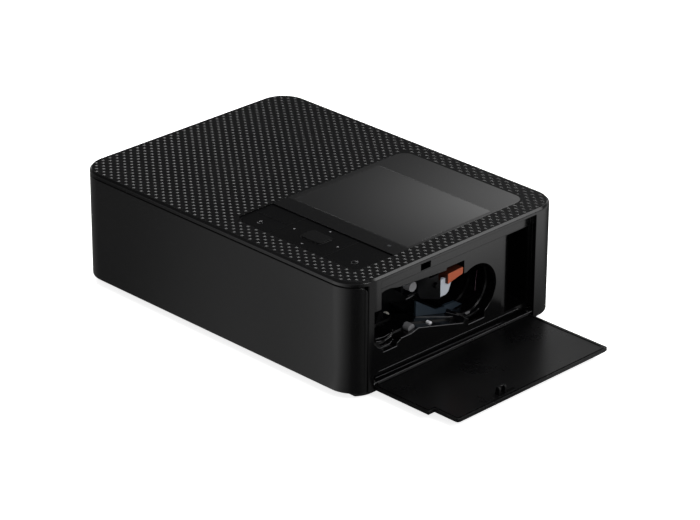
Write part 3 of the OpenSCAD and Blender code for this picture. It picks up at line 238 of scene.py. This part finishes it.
def studsPaintedShade(name, look):
    recipe = Recipe(bpy.data.materials.new(name))
    where = recipe.place()
    depth = recipe.node("SeparateXYZ", None, {"Vector": where}, out=1)
    stops = [((at - look["front"]) / look["reach"], (tone, tone, tone * look["blue"], 1))
             for at, tone in look["tones"]]
    colour = recipe.node("ValToRGB", {"stops": stops}, {"Fac": (depth - look["front"]) / look["reach"]})
    rough = look["rough"] + recipe.noise(where, look["roughSize"]) * look["roughSpread"]
    return recipe.finish({"Base Color": colour, "Roughness": rough})


doorLook = {"colour": (0.0012, 0.0012, 0.0014), "rough": 0.29, "specular": 0.23, "grain": 0.12}
okLook = {"colour": (0.0028, 0.0028, 0.003), "rough": 0.2, "specular": 0.07, "grain": 0.08}
ownFinish = {"bay_studs": studsPaintedShade("stud_painted_light", studShadeLook), "ink_door": plastic("door_plastic", doorLook),
             "ok_key": plastic("ok_plastic", okLook)}
for node, piece in nodes.items():
    piece.data.materials.clear()
    piece.data.materials.append(ownFinish.get(node, finishes[nodeSlot[node]]))
print("stage: finishes made,", len(finishes))


def makePiece(shape, name, slot, body, finish=None):
    mesh = bpy.data.meshes.new(name)
    shape.to_mesh(mesh)
    shape.free()
    piece = bpy.data.objects.new(name, mesh)
    bpy.context.scene.collection.objects.link(piece)
    mesh.materials.append(finish or finishes[slot])
    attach(piece, body)
    return piece


# angles in degrees: edges over crisp stay sharp, facets under flat join. The rest are times the round's
# width, or the least cosine of the way from the edge to its neighbour
rounding = {"crisp": 32, "flat": 0.4, "weld": 0.02, "segments": 2,
            "shortSide": 1.3, "square": 0.6, "across": 2.2, "ahead": 0.5}


def shade(shape):  # smooth faces that meet at crisp edges
    for face in shape.faces:
        face.smooth = True
    for edge in shape.edges:
        if len(edge.link_faces) == 2 and edge.calc_face_angle(0) > radians(rounding["crisp"]):
            edge.smooth = False


def nearestOn(point, start, end):
    along = end - start
    share = (point - start).dot(along) / max(along.length_squared, 1e-18)
    return start + along * max(0.0, min(1.0, share))


def hasRoom(edge, face, width):  # is the face wide enough beside this edge for a round
    a, b = (corner.co for corner in edge.verts)
    loop = next(each for each in edge.link_loops if each.face == face)
    inward = face.normal.cross(loop.link_loop_next.vert.co - loop.vert.co).normalized()
    for other in face.edges:
        if other == edge:
            continue
        c, d = (corner.co for corner in other.verts)
        if set(other.verts) & set(edge.verts):
            square = abs((d - c).normalized().dot(inward)) > rounding["square"]
            if (d - c).length < rounding["shortSide"] * width and square:
                return False
            continue
        for far, near in ((nearestOn(a, c, d), a), (nearestOn(b, c, d), b), (c, nearestOn(c, a, b)),
                          (d, nearestOn(d, a, b)), (nearestOn((a + b) / 2, c, d), (a + b) / 2)):
            step = far - near
            ahead = step.dot(inward) > rounding["ahead"] * step.length
            if step.length < rounding["across"] * width and ahead:
                return False
    return True


def markRounds(shape, width, hidden):  # crisp edges in sight, with room beside them
    layer = shape.edges.layers.float.new("bevel_weight_edge")
    low, high = (Vector(corner) * mm for corner in hidden)
    for edge in shape.edges:
        if len(edge.link_faces) != 2 or edge.calc_face_angle(0) < radians(rounding["crisp"]):
            continue
        if all(low[k] < corner.co[k] < high[k] for corner in edge.verts for k in range(3)):
            continue
        if all(hasRoom(edge, face, width) for face in edge.link_faces):
            edge[layer] = 1.0


def addBevel(piece, width):
    bevel = piece.modifiers.new("roundEdges", "BEVEL")
    bevel.width, bevel.segments, bevel.limit_method = width, rounding["segments"], "WEIGHT"
    bevel.use_clamp_overlap = False
    bevel.miter_outer = "MITER_ARC"
    weigh = piece.modifiers.new("flatFacesStayFlat", "WEIGHTED_NORMAL")
    weigh.mode, weigh.weight, weigh.keep_sharp = "FACE_AREA", 100, True


# the mouldings that show get the small edge rounds that a mould gives, except in a hidden box
nowhere = ((0, 0, 0), (0, 0, 0))
edgeRounds = {
    "case_shell": (0.22, ((-88.6, -57, -5), (85.6, 63.9, 54.9))),
    "front_cover": (0.28, nowhere),
    "ink_door": (0.15, nowhere),
    "control_fascia": (0.12, ((0, -54.3, 0), (99, 54.8, 57.2))),
    "menu_key": (0.1, nowhere),
    "back_key": (0.1, nowhere),
    "cursor_key": (0.1, nowhere),
    "ok_key": (0.14, nowhere),
    "power_key": (0.1, nowhere),
    "lcd_window": (0.06, nowhere),
    "ink_bay_panel": (0.15, ((50, -60, -5), (76, 60, 60))),
    "base_pan": (0.3, ((-86, -60, 0.3), (86, 60, 60))),
    "eject_lever": (0.2, ((0, -60, -5), (76, 60, 60))),
    "cassette_latch": (0.2, nowhere),
    "pivot_block": (0.2, ((0, -60, -5), (75, 60, 60))),
    "front_frame": (0.2, ((-95, -59.5, 0), (95, 60, 60))),
    "rubber_feet": (0.3, nowhere),
    "deck_plate": (0.1, nowhere),
}
for node, (width, hidden) in edgeRounds.items():
    shape = bmesh.new()
    shape.from_mesh(nodes[node].data)
    bmesh.ops.remove_doubles(shape, verts=shape.verts, dist=rounding["weld"] * mm)
    bmesh.ops.dissolve_limit(shape, angle_limit=radians(rounding["flat"]), verts=shape.verts, edges=shape.edges)
    shape.normal_update()
    markRounds(shape, width * mm, hidden)
    shade(shape)
    body = nodes[node]["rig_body"]
    piece = makePiece(shape, node + "_moulding", nodeSlot[node], body, ownFinish.get(node))
    addBevel(piece, width * mm)
    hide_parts(node)
print("stage: edges rounded,", len(edgeRounds))

deck = {
    "half": (91.1 - 1.35, 66.5 - 1.35), "corner": 12.5, "cornerCuts": 24, "top": 57.6, "margin": 0.9,
    "fascia": ((2.5, -54.5), (79.3, 55.0)), "fasciaCorner": 6.0,
    "period": (5.17, 4.24), "start": (-2.0, -64.3), "rows": (-1, 66), "columns": (-20, 21), "sink": -0.05,
    # each scale is a head and a thin tail: their feet, and the ridges that their slanted faces climb to
    "head": ((-0.98, -0.78, 0), (-0.69, -0.09, 0), (0.29, -0.39, 0), (0.62, 0.37, 0), (-0.46, 0.39, 0),
             (-0.46, 0.35, 0.23), (0.44, 0.34, 0.19)),
    "tail": ((0.2, -0.02, 0), (1.8, -0.16, 0), (1.8, 0.0, 0), (0.3, 0.3, 0),
             (0.3, 0.26, 0.13), (1.6, 0.0, 0.04)),
}
# painted highlight: the scales' coat grows towards the back right of the deck, so they glint brighter there
scaleLook = {"colour": (0.004, 0.004, 0.0043), "rough": 0.27, "specular": 0.2, "grain": 0.05,
             "coat": 0.95, "coatRough": 0.25, "coatRamp": (-45, -0.01, 0.115)}
scaleFilm = plastic("scale_film", scaleLook)


def deckCentres():  # staggered rows over the whole deck
    (stepX, stepY), (x0, y0) = deck["period"], deck["start"]
    for row in range(*deck["rows"]):
        y = y0 + row * stepY / 2
        for column in range(*deck["columns"]):
            yield x0 + column * stepX + (stepX / 2 if row % 2 else 0), y


def insideRound(x, y, low, high, corner, margin):  # in a rectangle with round corners
    dx = max(low[0] + corner - x, x - high[0] + corner, 0)
    dy = max(low[1] + corner - y, y - high[1] + corner, 0)
    return (dx * dx + dy * dy) ** 0.5 < corner - margin


def trimPast(shape, x, y, way):  # cuts off all that lies past an upright plane
    bmesh.ops.bisect_plane(shape, geom=shape.verts[:] + shape.edges[:] + shape.faces[:],
                           plane_co=Vector((x, y, 0)) * mm, plane_no=(*way, 0), clear_outer=True)


def makeScales():
    half, low, high = deck["half"], *deck["fascia"]
    # the fascia's four sides, each with the way in towards it
    sides = {"left": ((low[0], 0), (1, 0)), "right": ((high[0], 0), (-1, 0)),
             "front": ((0, low[1]), (0, 1)), "back": ((0, high[1]), (0, -1))}
    groups = {side: [] for side in sides}
    for x, y in deckCentres():
        if not insideRound(x, y, (-half[0], -half[1]), half, deck["corner"], -deck["margin"]):
            continue
        if insideRound(x, y, low, high, deck["fasciaCorner"], deck["margin"]):
            continue
        reach = {side: (at[0] - x) * way[0] + (at[1] - y) * way[1] for side, (at, way) in sides.items()}
        groups[max(reach, key=reach.get)].append((x, y))
    whole = bmesh.new()
    for side, centres in groups.items():
        shape = bmesh.new()
        for x, y in centres:
            for part in ("head", "tail"):
                made = [shape.verts.new(Vector((x + dx, y + dy, deck["top"] + (dz or deck["sink"]))) * mm)
                        for dx, dy, dz in deck[part]]
                bmesh.ops.convex_hull(shape, input=made)
        at, way = sides[side]
        trimPast(shape, *at, way)
        mesh = bpy.data.meshes.new("scaleGroup")
        shape.to_mesh(mesh)
        shape.free()
        whole.from_mesh(mesh)
        bpy.data.meshes.remove(mesh)
    corner = Vector((half[0] - deck["corner"], half[1] - deck["corner"]))
    for k in range(deck["cornerCuts"]):
        a = radians(360 / deck["cornerCuts"] * (k + 0.5))
        way = Vector((cos(a), sin(a)))
        at = Vector((corner.x * (1 if way.x > 0 else -1), corner.y * (1 if way.y > 0 else -1)))
        at += way * deck["corner"]
        trimPast(whole, at.x, at.y, way)
    for way in ((1, 0), (-1, 0), (0, 1), (0, -1)):
        trimPast(whole, half[0] * way[0], half[1] * way[1], way)
    makePiece(whole, "deckScales", "deck_film", "chassis", scaleFilm)


makeScales()
print("stage: deck scales made")

panelBody, doorBody, guideBody = (nodes[node]["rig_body"]
                                  for node in ("ink_bay_panel", "ink_door", "right_side_plate"))
paintedHighlight = plastic("painted_highlight", {"colour": (0.13, 0.13, 0.135), "rough": 0.4, "grain": 0.1})
paintedPinkHighlight = plastic("painted_pink_highlight", {"colour": (0.09, 0.045, 0.065), "rough": 0.4, "grain": 0.1})
beadForm = {"sides": 10, "overlap": 1.2}


def beadLines(name, lines, body, finish):  # straight beads from point to point, at each line's radius
    beads = bmesh.new()
    for radius, points in lines:
        for start, end in zip(points, points[1:]):
            start, end = Vector(start) * mm, Vector(end) * mm
            along, thick = end - start, radius * mm
            turn = along.to_track_quat("Z", "Y").to_matrix().to_4x4()
            bmesh.ops.create_cone(
                beads, cap_ends=True, cap_tris=False, segments=beadForm["sides"], radius1=thick, radius2=thick,
                depth=along.length + beadForm["overlap"] * thick,
                matrix=Matrix.Translation((start + end) / 2) @ turn)
    shade(beads)
    makePiece(beads, name, "case_plastic", body, finish)


def addPrism(outline, along, low, high):  # an outline in two axes, drawn out along the third
    shape = bmesh.new()
    ends = []
    for level in (low, high):
        for first, second in outline:
            spot = {"X": (level, first, second), "Z": (first, second, level)}[along]
            ends.append(shape.verts.new(Vector(spot) * mm))
    count = len(outline)
    shape.faces.new(ends[:count])
    shape.faces.new(ends[count:])
    for k in range(count):
        shape.faces.new((ends[k], ends[(k + 1) % count], ends[count + (k + 1) % count], ends[count + k]))
    bmesh.ops.recalc_face_normals(shape, faces=shape.faces)
    return shape


def addBall(shape, spot, radius, around, up):
    bmesh.ops.create_uvsphere(shape, u_segments=around, v_segments=up, radius=radius * mm,
                              matrix=Matrix.Translation(Vector(spot) * mm))


# painted highlights: light grey beads where the lips under the bay's mouth and the ledges in its lobes catch light
mouthLines = {
    "frontLip": (0.15, ((87.1, -44.5, 17.8), (87.1, -36.2, 17.8))),
    "backLip": (0.15, ((87.1, 10.0, 12.4), (87.1, 20.3, 12.4))),
    "middleLip": (0.16, ((87.1, -33.5, 20.8), (87.1, -27.0, 20.8), (87.1, -22.5, 22.0), (87.1, 6.5, 14.3))),
    "upperLedge": (0.08, ((87.4, -47.5, 9.5), (87.4, 43.0, 9.1))),
    "lowerLedge": (0.07, ((87.4, -49.5, 7.0), (87.4, 46.0, 5.6))),
    "lobeBack": (0.1, ((78.0, -40.3, 19.35), (79.8, -36.7, 19.9), (80.5, -34.45, 20.85), (79.9, -31.35, 21.55))),
    "lobeMiddle": (0.1, ((80.2, -42.1, 19.5), (81.35, -37.4, 19.1), (81.85, -34.15, 20.25))),
    "lobeFront": (0.12, ((83.75, -44.0, 18.5), (83.75, -42.3, 18.0), (83.75, -36.9, 18.25), (83.8, -35.3, 19.65))),
    "guideEdge": (0.13, ((76.4, -13.2, 20.3), (79.1, -0.2, 16.9), (80.6, 6.5, 15.25))),
    "rearStep": (0.12, ((76.2, 6.95, 15.6), (82.9, 7.7, 16.4))),
    "plateEdge": (0.22, ((74.25, -17.3, 29.8), (74.25, -12.3, 30.25))),
}
beadLines("mouthBeads", mouthLines.values(), panelBody, paintedHighlight)
# a painted highlight: a pinkish bead along an arc in the rear lobe
lobeLine = (0.12, ((76.4, 26.6, 30.1), (75.7, 26.6, 25.2), (76.85, 24.9, 20.8)))
beadLines("lobeArcs", [lobeLine], panelBody, paintedPinkHighlight)
# a painted highlight: a light grey bead along the door's hinge edge
hingeLine = (0.15, ((90.0, -53.3, 6.45), (90.0, 50.0, 6.45)))
beadLines("hingeBead", [hingeLine], doorBody, paintedHighlight)

# a small tab behind the rear lip and a dot deep in the front lobe, both light grey as painted highlights: the dot
# is a painted glint
bayTab = {"corners": ((81.35, 13.5, 14.9), (81.35, 17.0, 14.9), (83.7, 14.1, 13.75), (81.35, 15.0, 13.6)),
          "dot": (67.8, -24.1, 23.0), "dotRadius": 0.32}
tab = bmesh.new()
bmesh.ops.convex_hull(tab, input=[tab.verts.new(Vector(spot) * mm) for spot in bayTab["corners"]])
addBall(tab, bayTab["dot"], bayTab["dotRadius"], 12, 8)
makePiece(tab, "bayTab", "case_plastic", panelBody, paintedHighlight)

# the tip of the guide flange, which shows under the pivot block
guideTip = {"outline": ((6.3, 15.3), (9.7, 15.3), (17.9, 15.9), (13.4, 18.7), (6.3, 18.9)), "x": (74.0, 75.5)}
makePiece(addPrism(guideTip["outline"], "X", *guideTip["x"]), "guideTip", "plated_steel", guideBody)

# the round cheek that leads into the side pocket
cheek = {"at": (87.06, 31.6), "radius": 9.5, "reach": 48, "steps": 12, "back": 79.0, "z": (10.6, 48.6)}
(cheekX, cheekY), radius = cheek["at"], cheek["radius"]
swing = [radians(cheek["reach"] * k / cheek["steps"]) for k in range(cheek["steps"] + 1)]
curve = [(cheekX - radius * (1 - cos(a)), cheekY + radius * sin(a)) for a in swing]
curve += [(cheek["back"], curve[-1][1]), (cheek["back"], cheekY)]
pocketCheek = addPrism(curve, "Z", *cheek["z"])
shade(pocketCheek)
makePiece(pocketCheek, "pocketCheek", "case_plastic", panelBody)

# painted shadow: a dark strip where the band over the panel shades it
bandShadowSpan = {"x": (87.0, 87.14), "y": (-50.5, 48.5), "z": (48.95, 49.5)}
(front, rear), (low, high) = bandShadowSpan["y"], bandShadowSpan["z"]
bandShadowStrip = addPrism([(front, low), (rear, low), (rear, high), (front, high)], "X", *bandShadowSpan["x"])
makePiece(bandShadowStrip, "bandShadowStrip", "frame_plastic", panelBody)

# painted highlights: light grey balls at the hinge's two ends
hingeEnds = {"spots": ((90.0, -53.2, 6.1), (90.0, 49.8, 6.1)), "radius": 0.32}
knobs = bmesh.new()
for spot in hingeEnds["spots"]:
    addBall(knobs, spot, hingeEnds["radius"], 14, 9)
shade(knobs)
makePiece(knobs, "hingeEnds", "case_plastic", doorBody, paintedHighlight)

# painted shade: a thin black sheet stands for the shaded recess beside the latch fins on the door's inner face
doorSlotShade = {"outline": ((133.2, -16.2), (137.1, -16.2), (137.1, -10.6), (133.2, -10.6)), "z": (5.45, 5.57),
            "look": {"colour": (0.0004, 0.0004, 0.0004), "rough": 0.8, "specular": 0.05, "grain": 0.1}}
makePiece(addPrism(doorSlotShade["outline"], "Z", *doorSlotShade["z"]), "doorSlotShade", "case_plastic", doorBody,
          plastic("slot_painted_shade", doorSlotShade["look"]))
print("stage: bay trims made")

# generic marks printed on the keys
marks = {"level": 57.1 + 0.02, "line": 0.3, "arrow": 0.75,
         "arrows": ((28.5, -42, 180), (55.5, -41.5, 0), (42, -32.8, 90), (42, -50.4, 270))}
markLook = {"colour": (0.16, 0.16, 0.165), "rough": 0.5, "grain": 0.05, "specular": 0.2}
markInk = plastic("mark_ink", markLook)


def stroke(shape, points):  # a flat line through points, as quads
    for start, end in zip(points, points[1:]):
        start, end = Vector(start), Vector(end)
        size = ((end - start).length + marks["line"], marks["line"])
        middle, lean = (start + end) / 2, (end - start).normalized().angle_signed(Vector((1, 0)))
        bmesh.ops.create_grid(
            shape, x_segments=1, y_segments=1, size=0.5 * mm,
            matrix=Matrix.Translation(Vector((middle.x, middle.y, marks["level"])) * mm)
            @ Matrix.Rotation(lean, 4, "Z") @ Matrix.Diagonal((*size, 1, 1)))


def arc(centre, radius, start, end, steps=20):
    turns = [radians(start + (end - start) * k / steps) for k in range(steps + 1)]
    return [(centre[0] + radius * cos(a), centre[1] + radius * sin(a)) for a in turns]


keySigns = {
    "powerMark": ("power_key", (arc((72, -47.5), 1.45, 125, 415), [(72, -46.9), (72, -45.6)])),
    "backMark": ("back_key", (arc((13.4, -48.2), 1.0, -90, 90, 10), [(13.4, -47.2), (11.6, -47.2)],
                              [(13.4, -49.2), (12.2, -49.2)], [(12.4, -46.4), (11.5, -47.2), (12.4, -48.0)])),
}
for name, (key, lines) in keySigns.items():
    sign = bmesh.new()
    for points in lines:
        stroke(sign, points)
    makePiece(sign, name, "key_plastic", key, markInk)
cursorMarks = bmesh.new()
for x, y, turn in marks["arrows"]:
    bmesh.ops.create_circle(cursorMarks, cap_ends=True, segments=3, radius=marks["arrow"] * mm,
                            matrix=Matrix.Translation(Vector((x, y, marks["level"])) * mm)
                            @ Matrix.Rotation(radians(turn - 90), 4, "Z"))
makePiece(cursorMarks, "cursorMarks", "key_plastic", "cursor_key", markInk)
print("stage: key marks made")

# camera as the photograph was taken: lengths in mm, angles in degrees, focal length in pixels
view = {"focal": 3112.85, "azimuth": 44.944, "elevation": 25.296, "roll": 0.348, "pixels": 700, "sensor": 36.0,
        "shiftRight": 15.262, "shiftUp": -12.62, "distance": 1439.393, "height": 32.167}
azimuth, elevation, roll = (radians(view[key]) for key in ("azimuth", "elevation", "roll"))
back = Vector((sin(azimuth) * cos(elevation), -cos(azimuth) * cos(elevation), sin(elevation)))
right = Vector((cos(azimuth), sin(azimuth), 0))
up = back.cross(right)
right, up = cos(roll) * right + sin(roll) * up, cos(roll) * up - sin(roll) * right
aim = Vector((0, 0, view["height"])) + right * view["shiftRight"] + up * view["shiftUp"]
camera = bpy.data.objects.new("camera", bpy.data.cameras.new("camera"))
camera.data.sensor_width = view["sensor"]
camera.data.lens = view["focal"] * view["sensor"] / view["pixels"]
camera.data.clip_end = 20
camera.matrix_world = Matrix((right, up, back)).transposed().to_4x4()
camera.matrix_world.translation = (aim + back * view["distance"]) * mm
bpy.context.scene.collection.objects.link(camera)
bpy.context.scene.camera = camera

# lamps: direction and distance from the spot that they face, that spot, size and power
lamps = {
    "overhead": {"way": (-0.1, 0.1, 1.0), "far": 1.3, "to": (0, 0, 0.03), "size": (0.8, 0.8), "power": 6.5},
    "left": {"way": (-0.64, 0.22, 0.74), "far": 1.2, "to": (-0.03, 0, 0.057), "size": (0.34, 0.5),
             "power": 4.0},
    "behind": {"way": (-0.12, 0.64, 0.76), "far": 1.1, "to": (0.05, 0, 0.05), "size": (0.3, 0.26),
               "power": 2.6},
    "behindRight": {"way": (0.43, 0.62, 0.65), "far": 1.1, "to": (0.05, 0, 0.05), "size": (0.36, 0.3),
                    "power": 0.95},
    "right": {"way": (0.78, -0.05, 0.62), "far": 0.9, "to": (0.08, 0.0, 0.03), "size": (0.3, 0.3),
              "power": 2.4},
}
for name, lamp in lamps.items():
    light = bpy.data.lights.new(name, "AREA")
    light.shape = "RECTANGLE"
    light.size, light.size_y = lamp["size"]
    light.energy = lamp["power"]
    holder = bpy.data.objects.new(name, light)
    holder.location = Vector(lamp["to"]) + Vector(lamp["way"]).normalized() * lamp["far"]
    holder.rotation_euler = (Vector(lamp["to"]) - holder.location).to_track_quat("-Z", "Y").to_euler()
    bpy.context.scene.collection.objects.link(holder)


def rayKinds(recipe):
    paths = recipe.node("LightPath").socket.node.outputs
    return [Wire(recipe, paths["Is %s Ray" % kind]) for kind in ("Camera", "Glossy", "Transmission")]


def grey(level):
    return (level, level, level, 1)


def greys(stops, low=0.0, high=1.0):
    return [((at - low) / (high - low), grey(glow)) for at, glow in stops]


# the room: white all round at the height of the table, and dim overhead where things mirror it
room = {"ambient": 0.45, "horizon": 1.0, "ceiling": 0.1,
        "stops": ((0.0, 1.0), (0.06, 0.7), (0.2, 0.12), (0.5, 0.03), (1.0, 0.0))}
world = bpy.data.worlds.new("studio")
bpy.context.scene.world = world
sky = Recipe(world)
seen, mirrored, through = rayKinds(sky)
height = sky.node("SeparateXYZ", None, {"Vector": sky.node("TexCoord")}, out=2)
fade = sky.node("ValToRGB", {"stops": greys(room["stops"])}, {"Fac": height})
dim = sky.blendColour(fade, grey(room["ceiling"]), grey(room["horizon"]))
plain = sky.blendColour(mirrored, grey(room["ambient"]), dim)
colour = sky.blendColour(sky.node("Clamp", None, {"Value": seen + through}), plain, grey(1))
sky.node("OutputWorld", None, {"Surface": sky.node("Background", None, {"Color": colour, "Strength": 1.0})})


def stagePlane(name, size, place):
    shape = bmesh.new()
    bmesh.ops.create_grid(shape, x_segments=1, y_segments=1, size=size)
    mesh = bpy.data.meshes.new(name)
    shape.to_mesh(mesh)
    shape.free()
    plane = bpy.data.objects.new(name, mesh)
    plane.location = place
    bpy.context.scene.collection.objects.link(plane)
    return plane


# the floor: white to the eye; a mirror sees it dimmer close to the printer and on the camera's side.
# The first three rows go by the degrees around middle, and front and side by the share of their reach
floorLook = {
    "paper": 0.8, "glow": 0.8, "middle": (0.077, -0.052, 0.0), "size": 6,
    "ring": ((-180, 1.0), (-108, 1.0), (-93, 0.8), (-75, 0.4), (-55, 0.08), (-35, 0.05), (-15, 0.18), (6, 0.4),
             (24, 0.36), (35, 0.3), (39, 0.55), (44, 0.85), (54, 1.0), (180, 1.0)),
    "frontZone": ((-180, 1.0), (-112, 1.0), (-100, 0.0), (150, 0.0), (180, 1.0)),
    "sideZone": ((-180, 0.0), (-20, 0.0), (5, 1.0), (40, 1.0), (110, 1.0), (150, 0.0), (180, 0.0)),
    "front": ((0.0, 0.17), (0.1, 0.21), (0.3, 0.33), (0.45, 0.4), (0.62, 0.43), (0.75, 0.52), (0.86, 0.78),
              (1.0, 1.0)), "frontReach": 0.18,
    "side": ((0.0, 0.05), (0.3, 0.32), (0.55, 0.6), (0.8, 0.95), (1.0, 1.0)), "sideFrom": 0.087, "sideReach": 0.1,
}
floor = stagePlane("floor", floorLook["size"], (0, 0, 0))
paper = Recipe(bpy.data.materials.new("floorPaper"))
seen, mirrored, through = rayKinds(paper)
here = paper.node("TexCoord", out=3)
spotX = paper.node("SeparateXYZ", None, {"Vector": here})
spotY = Wire(paper, spotX.socket.node.outputs["Y"])
where = paper.node("VectorMath", {"operation": "SUBTRACT"}, {0: here, 1: floorLook["middle"]})
turn = paper.node("TexGradient", {"gradient_type": "RADIAL"}, {"Vector": where}, out=1)


def level(key, place, low=0.0, high=1.0):
    ramp = paper.node("ValToRGB", {"stops": greys(floorLook[key], low, high)}, {"Fac": place})
    return paper.node("RGBToBW", None, {"Color": ramp})


ring, frontZone, sideZone = (level(key, turn, -180, 180) for key in ("ring", "frontZone", "sideZone"))
front = level("front", (spotX - spotY) / floorLook["frontReach"])
side = level("side", (spotX - floorLook["sideFrom"]) / floorLook["sideReach"])
echo = ring * (1 - frontZone * (1 - front)) * (1 - sideZone * (1 - side))
matt = paper.node("BsdfDiffuse", None, {"Color": grey(floorLook["paper"])})
glow = paper.node("Emission", None, {"Color": grey(1), "Strength": (seen + through) * floorLook["glow"]})
lit = paper.node("AddShader", None, {0: matt, 1: glow})
mirror = paper.node("Emission", None, {"Color": grey(1), "Strength": echo})
paper.node("OutputMaterial", None, {"Surface": paper.node("MixShader", None, {0: mirrored, 1: lit, 2: mirror})})
floor.data.materials.append(paper.owner)

# a soft card over the printer's far side, seen only as the sheen on its gloss panel
card = {"at": (-0.165, 0.35, 0.228), "reach": 0.15, "strength": 1.65}
sheenCard = stagePlane("sheenCard", card["reach"], card["at"])
for ray in ("camera", "diffuse", "transmission", "volume_scatter", "shadow"):
    setattr(sheenCard, "visible_" + ray, False)
soft = Recipe(bpy.data.materials.new("cardPaper"))
where = soft.place(size=(1 / card["reach"],) * 3)
fall = soft.node("TexGradient", {"gradient_type": "QUADRATIC_SPHERE"}, {"Vector": where}, out=1)
shine = soft.node("Emission", None, {"Color": grey(1), "Strength": fall * card["strength"]})
clear = soft.node("BsdfTransparent", None, {"Color": grey(1)})
soft.node("OutputMaterial", None, {"Surface": soft.node("AddShader", None, {0: shine, 1: clear})})
sheenCard.data.materials.append(soft.owner)

bpy.context.scene.view_settings.view_transform = "Standard"
print("stage: studio ready")
